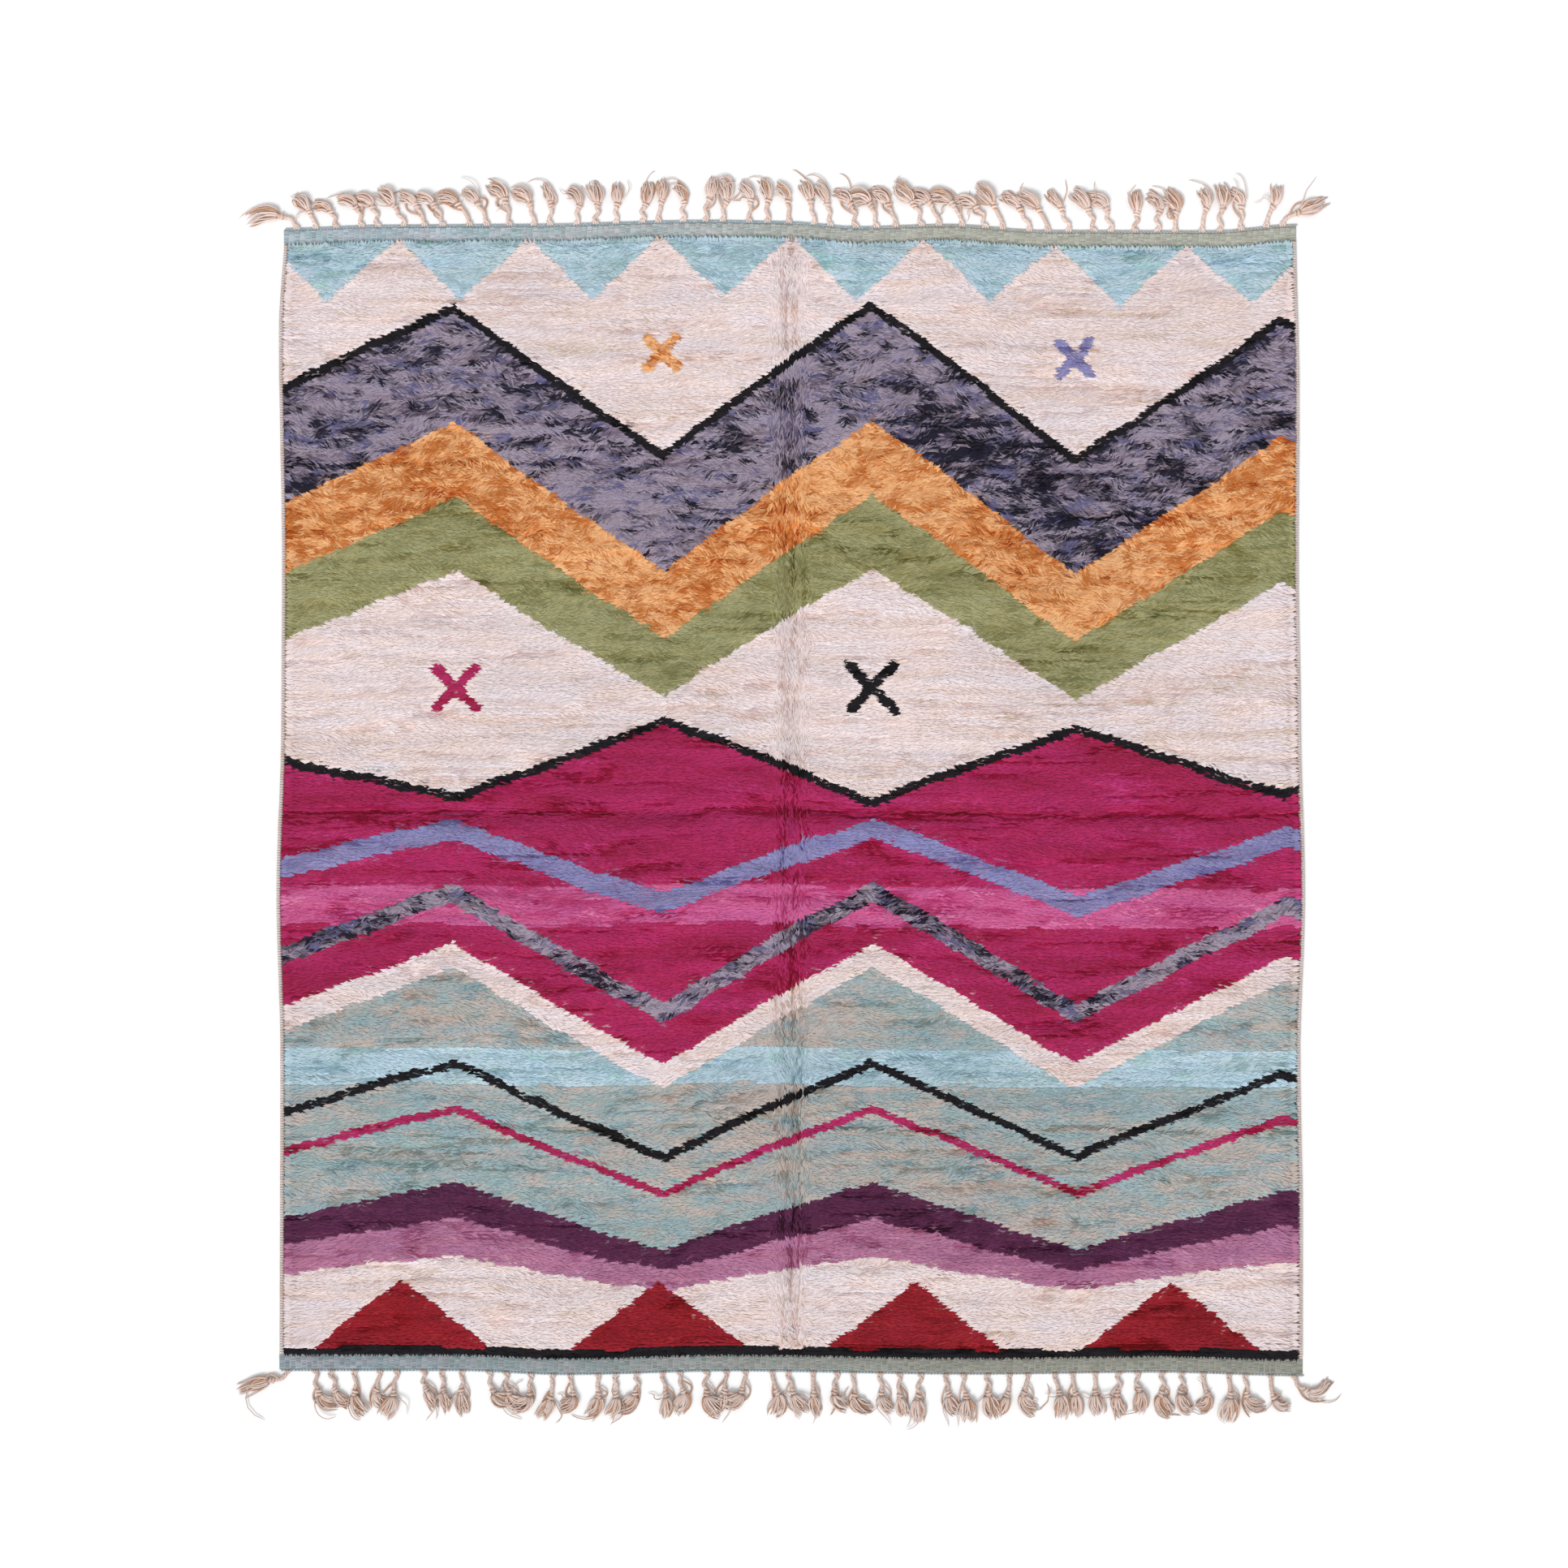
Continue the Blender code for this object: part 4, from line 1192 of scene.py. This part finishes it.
def band_ribs(name, side, material, draw):
    """The ribs of a band: weft floats that lie half a step apart in each second rib."""
    rib, step = np.meshgrid(np.arange(RIB_COUNT), np.arange(PASS_COUNT), indexing="ij")
    rib_width = RUG_WIDTH / RIB_COUNT
    pass_width = BAND_WIDTH / PASS_COUNT
    x = (rib + 0.5) * rib_width - HALF_WIDTH
    x = x + RIB_WANDER * drift(x, x, RIB_WAVE, RIB_WAVE, 91)
    y = side * (HALF_LENGTH - BAND_WIDTH) + side * (step + 0.25 + 0.5 * (rib % 2)) * pass_width
    shown = np.ravel(side * (side * HALF_LENGTH - y) > FLOAT_MARGIN)
    places = np.stack((*lie(x, y), np.full(x.shape, BAND_CLOTH)), axis=-1)
    across = np.full(x.shape, rib_width * FLOAT_ACROSS)
    along = np.full(x.shape, pass_width * FLOAT_ALONG)
    height = FLOAT_HEIGHT * (1 + FLOAT_STRAY * scattered(draw, x))
    sizes = np.stack((across, along, height), axis=-1)
    turns = np.zeros(places.shape)
    turns[..., 2] = FLOAT_TURN * scattered(draw, x)
    colours = band_colours(x, y, side, draw, 92 + side)
    tables = (places, turns, sizes, colours)
    laid = [table.reshape(-1, table.shape[-1])[shown] for table in tables]
    return lay_yarn(name, float_shape(), *laid, material, crisp=True)


def end_band(name, side, material):
    """A flat-woven band: a thin cloth under ribs of weft floats."""
    draw = np.random.default_rng(SEED + 5 + side)
    cloth = band_cloth(name + "_cloth", side, material, draw)
    return cloth, band_ribs(name + "_ribs", side, material, draw)


def selvedge(name, side, material):
    """The overcast edge along one side: slanting wraps of yarn round the edge cords."""
    draw = np.random.default_rng(SEED + 9 + side)
    half = FIELD_HALF_LENGTH - WRAP_WIDTH
    count = int(2 * half / WRAP_PITCH)
    y = np.linspace(-half, half, count)
    middle = np.full(count, side * (HALF_WIDTH - SELVEDGE_RADIUS))
    lies_x, lies_y = lie(middle, y)
    waves = drift(y, y, WRAP_WAVE, WRAP_WAVE, 95)
    size = 1 + WRAP_SIZE_STRAY * waves * draw.uniform(0, 1, count)
    places = np.stack((lies_x, lies_y, SELVEDGE_RADIUS * size), axis=-1)
    turns = np.zeros((count, 3))
    turns[:, 2] = WRAP_TURN + WRAP_TURN_STRAY * draw.uniform(-1, 1, count)
    sizes = np.stack((size, np.ones(count), size), axis=-1)
    colours = mixed(SELVEDGE_COLOURS, y, y, draw, EDGE_MOTTLE, EDGE_MOTTLE, 96 + side)
    return lay_yarn(name, wrap_shape(), places, turns, sizes, colours, material)


# Fringe.


def tassel_spine(root, side, lean, hook, reach):
    """Points and headings along a tassel: straight out, then leaning, then hooked."""
    x, y = root
    spine = [(x, y, 0.0)]
    for step in range(SPINE_STEPS):
        share = (step + 0.5) / SPINE_STEPS
        turned = lean * ease((share - LEAN_FROM) / (LEAN_TO - LEAN_FROM))
        turned += hook * ease((share - HOOK_FROM) / (HOOK_TO - HOOK_FROM))
        heading = math.radians(turned)
        x += math.sin(heading) * reach / SPINE_STEPS
        y += side * math.cos(heading) * reach / SPINE_STEPS
        spine.append((x, y, heading))
    return spine


def tassel_half_width(share):
    """Half the width that a tassel takes up at a share of its length."""
    outline = [(0.0, CORD_WIDTH / 2)]
    outline += [(place, width / 2) for place, width in CORD_SECTIONS]
    outline += [(place, apart + width / 2) for place, apart, width in TAIL_SECTIONS]
    return np.interp(share, [row[0] for row in outline], [row[1] for row in outline])


HALF_WIDTHS = tassel_half_width(np.arange(SPINE_STEPS + 1) / SPINE_STEPS)


def lie_clear(spine, other):
    """True where two tassels lie apart all along."""
    ours = np.array(spine)[:, None, :2]
    theirs = np.array(other)[None, :, :2]
    apart = np.linalg.norm(ours - theirs, axis=-1)
    least = HALF_WIDTHS[:, None] + HALF_WIDTHS[None, :] + TASSEL_CLEARANCE
    return bool((apart >= least).all())


def root_place(bay, side):
    """Where a bay's tassel starts, across the rug."""
    middle = (BAY_EDGES[bay] + BAY_EDGES[bay + 1]) / 2
    return middle + ROOT_WANDER * math.sin(ROOT_TURN * bay + side)


def lay_tassels(side, table, outer):
    """Spines along one end; each turns towards its left neighbour's lean until it is clear."""
    spines = []
    shape = follow(table, -HALF_WIDTH)
    for bay in range(TASSEL_COUNT):
        before = shape
        place = root_place(bay, side)
        lean, hook, reach = follow(table, place)
        lean += LEAN_WANDER * math.sin(LEAN_TURN * bay + 2 * side)
        reach += REACH_WANDER * math.sin(REACH_TURN * bay)
        own = (lean, hook, reach)
        for turn in range(TURN_STEPS + 1):
            share = turn / TURN_STEPS
            shape = tuple(mine + (left - mine) * share for mine, left in zip(own, before))
            spine = tassel_spine(lie(place, outer), side, *shape)
            if all(lie_clear(spine, other) for other in spines[-3:]):
                break
        spines.append(spine)
    return spines


def spine_at(spine, share):
    """Place and heading on a tassel at a share of its length."""
    place = min(max(share, 0.0), 1.0) * SPINE_STEPS
    low = min(int(place), SPINE_STEPS - 1)
    part = place - low
    return tuple(a + (b - a) * part for a, b in zip(spine[low], spine[low + 1]))


def sideways_of(heading, side):
    """Direction across a strand that lies on the floor."""
    return Vector((side * math.cos(heading), -math.sin(heading), 0.0))


def frame_at(spine, side, share):
    """Middle line and sideways direction of a tassel at a share of its length."""
    x, y, heading = spine_at(spine, share)
    return Vector((x, y, 0.0)), sideways_of(heading, side)


def raised(height):
    """Step up from the floor."""
    return Vector((0, 0, height))


def tube(points, radii, sides):
    """Corners, faces and flat places of a closed tube along a path, pointed at both ends."""
    corners = [points[0]]
    heading = (points[1] - points[0]).normalized()
    across = heading.orthogonal().normalized()
    for i in range(1, len(points) - 1):
        turned = (points[i + 1] - points[i - 1]).normalized()
        across.rotate(heading.rotation_difference(turned))
        heading = turned
        for k in range(sides):
            spoke = across.copy()
            spoke.rotate(Quaternion(heading, 2 * math.pi * k / sides))
            corner = points[i] + spoke * radii[i]
            corner.z = max(corner.z, STRAND_REST)
            corners.append(corner)
    corners.append(points[-1])
    rings = len(points) - 2
    last = len(corners) - 1
    faces = []
    flat = []
    for k in range(sides):
        n = (k + 1) % sides
        low, high = k / sides, (k + 1) / sides
        faces.append((0, 1 + n, 1 + k))
        flat += [(0.0, (low + high) / 2), (1 / (rings + 1), high), (1 / (rings + 1), low)]
        for i in range(rings - 1):
            a = 1 + i * sides
            b = a + sides
            before, after = (i + 1) / (rings + 1), (i + 2) / (rings + 1)
            faces.append((a + k, a + n, b + n, b + k))
            flat += [(before, low), (before, high), (after, high), (after, low)]
        a = 1 + (rings - 1) * sides
        faces.append((a + k, a + n, last))
        flat += [(rings / (rings + 1), low), (rings / (rings + 1), high), (1.0, (low + high) / 2)]
    return corners, faces, flat


def plies(spine, side, draw):
    """The cord of a tassel: plies that leave the band apart and twist together."""
    strands = []
    turn = draw.uniform(0, 2 * math.pi)
    bend = CORD_BEND * draw.uniform(-1, 1)
    for ply in range(PLY_COUNT):
        points = []
        for step in range(PLY_STEPS + 1):
            share = -CORD_BACK + (KNOT_FROM + CORD_ON) * step / PLY_STEPS
            middle, sideways = frame_at(spine, side, share)
            middle += Vector((0, side * CORD_TUCK * min(share, 0.0), 0))
            twisted = ease(share / PLY_TWISTED)
            angle = turn + 2 * math.pi * (ply / PLY_COUNT + PLY_TURNS * share / KNOT_FROM)
            off = (ply - 1) * PLY_SPREAD * (1 - twisted)
            off += twisted * PLY_RADIUS * PLY_LAY * math.cos(angle)
            off += bend * math.sin(2 * math.pi * min(max(share, 0.0) / KNOT_FROM, 1.0))
            height = 2 * PLY_RADIUS + twisted * PLY_RADIUS * PLY_LAY * math.sin(angle)
            points.append(middle + sideways * off + raised(height))
        strands.append((points, [PLY_RADIUS] * len(points), PLY_SIDES, "cord"))
    return strands


def knot(spine, side, draw):
    """The knot of a tassel: a coil round a core, flattened where it lies."""
    length = KNOT_TO - KNOT_FROM
    hand = 1 if draw.uniform() > ODD_HANDS else -1
    turn = draw.uniform(0, 2 * math.pi)
    start, taken = COIL_SPAN
    low, wave = COIL_SWELL
    coil = []
    for step in range(KNOT_STEPS + 1):
        part = step / KNOT_STEPS
        middle, sideways = frame_at(spine, side, KNOT_FROM + length * (start + taken * part))
        angle = turn + hand * 2 * math.pi * KNOT_TURNS * part
        full = math.sin(math.pi * (low + wave * part))
        off = COIL_WIDTH * full * math.cos(angle)
        height = COIL_MIDDLE + COIL_HEIGHT * full * math.sin(angle)
        coil.append(middle + sideways * off + raised(height))
    core = []
    last = len(CORE_RADII) - 1
    for step in range(last + 1):
        share = KNOT_FROM - CORE_PAST_START + (length + CORE_PAST) * step / last
        core.append(frame_at(spine, side, share)[0] + raised(CORE_HEIGHT))
    # The core takes the tan mix of painted shade inside the coil.
    return [
        (coil, [COIL_RADIUS] * len(coil), KNOT_SIDES, "cord"),
        (core, CORE_RADII, CORE_SIDES, "tail"),
    ]


def tail_line(spine, side, turn, length):
    """Middle line of a frayed end: out of the knot, turned round to one side."""
    x, y, heading = spine_at(spine, KNOT_TO - TAIL_OVERLAP)
    line = [(x, y, heading)]
    for step in range(TAIL_STEPS):
        if step < TAIL_BENT_STEPS:
            heading += turn * TAIL_BEND / TAIL_STEPS
        x += math.sin(heading) * length / TAIL_STEPS
        y += side * math.cos(heading) * length / TAIL_STEPS
        line.append((x, y, heading))
    return line


def tail_strand(spine, side, tail, turned, full, lift, reach, draw):
    """One strand of a frayed end, or one of the wisps that stray from it."""
    stray = tail >= TAIL_COUNT
    turn_stray, turn_times, curl_times, thick = WISP if stray else STRAND
    if stray:
        spread = draw.choice((-WISP_SPREAD, WISP_SPREAD))
        share = WISP_LENGTH
    else:
        spread = (tail + 0.5) / TAIL_COUNT * 2 - 1
        share = TAIL_LEAST_LENGTH + (1 - TAIL_LEAST_LENGTH) * full
    turn = turned + draw.uniform(-turn_stray, turn_stray)
    length = TAIL_LENGTH * reach * draw.uniform(*TAIL_LENGTHS) * share
    curl = TAIL_CURL * draw.uniform(*TAIL_CURLS) * curl_times
    phase = draw.uniform(0, 2 * math.pi)
    level = draw.uniform(0.0, 1.0)
    low, rising = RISE_WAVE
    points = []
    radii = []
    for step, (x, y, heading) in enumerate(tail_line(spine, side, turn * turn_times, length)):
        part = step / TAIL_STEPS
        wave = math.sin(math.pi * SWELL_WAVE * part**SWELL_EARLY)
        swell = TAIL_ROOT + TAIL_SWELL * full * wave
        off = spread * swell + curl * part * math.sin(phase + TAIL_WAVE * part)
        radius = thick * (1 - TAIL_TAPER * part)
        rise = math.sin(math.pi * (low + rising * part))
        height = radius + TAIL_HEIGHT * (1 - part) + (TAIL_HEAP * level + lift) * rise
        points.append(Vector((x, y, height)) + sideways_of(heading, side) * off)
        radii.append(radius)
    # Low strands take the tan mix of painted shade, upper ones the paler mix.
    return points, radii, TAIL_SIDES, "tail" if level < LOW_STRANDS else "top tail"


def tails(spine, side, sweep, lift, reach, draw):
    """The frayed end of a tassel: untwisted strands that swell out of the knot and curl."""
    usual, least, most = sweep
    turned = math.radians(usual + draw.choice((-1, 1)) * draw.uniform(least, most))
    full = draw.uniform(*TAIL_FULLNESS)
    return [
        tail_strand(spine, side, tail, turned, full, lift, reach, draw)
        for tail in range(TAIL_COUNT + WISP_COUNT)
    ]


def bow(spine, side, draw):
    """A ply that has slipped out of a tassel and lies beside it in an open bow."""
    start = draw.uniform(*BOW_STARTS)
    end = draw.uniform(*BOW_ENDS)
    width = draw.choice((-1, 1)) * draw.uniform(*BOW_WIDTHS)
    points = []
    for step in range(BOW_STEPS + 1):
        part = step / BOW_STEPS
        middle, sideways = frame_at(spine, side, start + (end - start) * part)
        off = sideways * width * math.sin(math.pi * part)
        height = BOW_RADIUS * BOW_UP + BOW_HEIGHT * abs(math.cos(math.pi * part))
        points.append(middle + off + raised(height))
    # The slipped ply also takes the tan mix of painted shade.
    return [(points, [BOW_RADIUS] * len(points), BOW_SIDES, "tail")]


def join_strands(name, strands, colours, end_painted_shade, material, draw):
    """One mesh of many tubes, each with a shade and a flat place of its own, all darkened by their end's
    painted shade.
    """
    corners = []
    faces = []
    flat = []
    cells = []
    tones = []
    for number, (points, radii, sides, tone) in enumerate(strands):
        own_corners, own_faces, own_flat = tube(points, radii, sides)
        first = len(corners)
        corners += own_corners
        faces += [tuple(first + i for i in face) for face in own_faces]
        flat += own_flat
        cells += [number] * len(own_flat)
        first_colour, second_colour = colours[tone]
        mix = draw.uniform(0, 1)
        colour = linear(first_colour) * (1 - mix) + linear(second_colour) * mix
        colour = colour * end_painted_shade * draw.uniform(*STRAND_TONES)
        tones += [(*colour, 1.0)] * len(own_corners)
    mesh = new_mesh(name, corners, faces, material)
    set_attribute(mesh, "yarn", "FLOAT_COLOR", tones)
    spread_flat(mesh, np.array(flat), np.array(cells), len(strands))
    return as_object(name, mesh)


def stitch_line(place, slant):
    """Points along one slanting stitch, arched a little in its middle."""
    along = Vector((STITCH_REACH, slant, 0.0))
    top = along * STITCH_ARCHED
    arch = raised(STITCH_ARCH)
    return [place - along, place - top + arch, place + top + arch, place + along]


def twining(side):
    """The twined strip between a band and its fringe: slanting stitches in two strands."""
    strands = []
    count = int(RUG_WIDTH / TWINE_PITCH)
    radii = (0, STITCH_RADIUS, STITCH_RADIUS, 0)
    for stitch in range(count):
        x = (stitch + 0.5) * RUG_WIDTH / count - HALF_WIDTH
        tone = "edge" if x < SAGE_STITCHES else "sage edge"
        for strand in (0, 1):
            depth = TWINING_DEPTH * (TWINE_FROM + TWINE_STEP * strand)
            lies_x, lies_y = lie(x + TWINE_SHIFT * strand, side * (HALF_LENGTH + PARTING + depth))
            place = Vector((float(lies_x), float(lies_y), STITCH_HEIGHT))
            slant = side * STITCH_SLANT * (1 - 2 * strand)
            strands.append((stitch_line(place, slant), radii, 4, tone))
    return strands


def fringe(name, side, table, sweep, bows, material):
    """Twined strip and tassels of one end, along the lines of their solids."""
    draw = np.random.default_rng(SEED + 30 + side)
    outer = side * (HALF_LENGTH + PARTING + TWINING_DEPTH)
    strands = twining(side)
    for bay, spine in enumerate(lay_tassels(side, table, outer)):
        strands += plies(spine, side, draw)
        strands += knot(spine, side, draw)
        reach = CORNER_REACH if bay in (0, TASSEL_COUNT - 1) else 1.0
        strands += tails(spine, side, sweep, TASSEL_LIFT * (bay % 2), reach, draw)
        if draw.uniform() < bows:
            strands += bow(spine, side, draw)
    # The tan in "tail" is painted shade; "cord" and "top tail" mix in the paler tone.
    colours = {
        "cord": (FRINGE_COLOURS[0], FRINGE_COLOURS[2]),
        "tail": (FRINGE_COLOURS[0], FRINGE_COLOURS[1]),
        "top tail": (FRINGE_COLOURS[0], FRINGE_COLOURS[2]),
        "edge": (BAND_COLOURS[0], BAND_COLOURS[1]),
        "sage edge": (BAND_COLOURS[0], BAND_SAGE),
    }
    # Painted shade: the bottom fringe's colours are darkened.
    tone = 1.0 if side > 0 else BOTTOM_FRINGE_PAINTED_SHADE
    return join_strands(name, strands, colours, tone, material, draw)


# Stage.


def camera():
    """Camera straight above the rug."""
    lens = bpy.data.cameras.new("camera")
    lens.lens = LENS
    lens.sensor_width = SENSOR
    lens.clip_end = CLIP_END
    made = as_object("camera", lens)
    made.location = CAMERA_PLACE
    bpy.context.scene.camera = made


def pale_floor():
    """A plain pale floor."""
    material = bpy.data.materials.new("floor")
    material.use_nodes = True
    shader = material.node_tree.nodes["Principled BSDF"]
    shader.inputs["Base Color"].default_value = FLOOR_COLOUR
    shader.inputs["Roughness"].default_value = FLOOR_ROUGHNESS
    reach = FLOOR_REACH
    corners = [(-reach, -reach, 0), (reach, -reach, 0), (reach, reach, 0), (-reach, reach, 0)]
    floor = as_object("floor", new_mesh("floor", corners, [(0, 1, 2, 3)], material))


def studio_light():
    """A soft key light and a pale surround."""
    sun = bpy.data.lights.new("key", "SUN")
    sun.energy = KEY_ENERGY
    sun.angle = math.radians(KEY_ANGLE)
    key = as_object("key", sun)
    key.rotation_euler = [math.radians(turn) for turn in KEY_TURN]
    world = bpy.data.worlds.new("studio")
    world.use_nodes = True
    surround = world.node_tree.nodes["Background"]
    surround.inputs["Color"].default_value = SURROUND_COLOUR
    surround.inputs["Strength"].default_value = SURROUND_STRENGTH
    bpy.context.scene.world = world


def dress_rug():
    """Every visible piece of the rug."""
    wools = {name: wool(name, *row) for name, row in WOOLS.items()}
    pile_wool, flat_wool = wools["pile_wool"], wools["flat_wool"]
    cloth = dress(ground_cloth(flat_wool), "pile_wool", "pile_field")
    laid = [dress(pile_bed(pile_wool), "pile_wool", "pile_field")]
    laid += [dress(zone, "pile_wool", "pile_field") for zone in pile_locks(pile_wool)]
    for name, side in (("end_band_top", 1), ("end_band_bottom", -1)):
        cloth_of_band, ribs = end_band(name, side, flat_wool)
        dress(cloth_of_band, "band_wool", name)
        dress(ribs, "band_wool", name)
    for name, side in (("selvedge_left", -1), ("selvedge_right", 1)):
        wraps = selvedge(name + "_wraps", side, wools["edge_wool"])
        laid.append(dress(wraps, "selvedge_wool", name))
    for name, side, table, sweep, bows in (
        ("fringe_top", 1, TOP_TASSELS, TOP_SWEEP, TOP_BOWS),
        ("fringe_bottom", -1, BOTTOM_TASSELS, BOTTOM_SWEEP, BOTTOM_BOWS),
    ):
        strands = fringe(name + "_strands", side, table, sweep, bows, wools["cord_wool"])
        laid.append(dress(strands, "fringe_wool", name))


dress_rug()
camera()
pale_floor()
studio_light()
bpy.context.scene.view_settings.view_transform = "Standard"
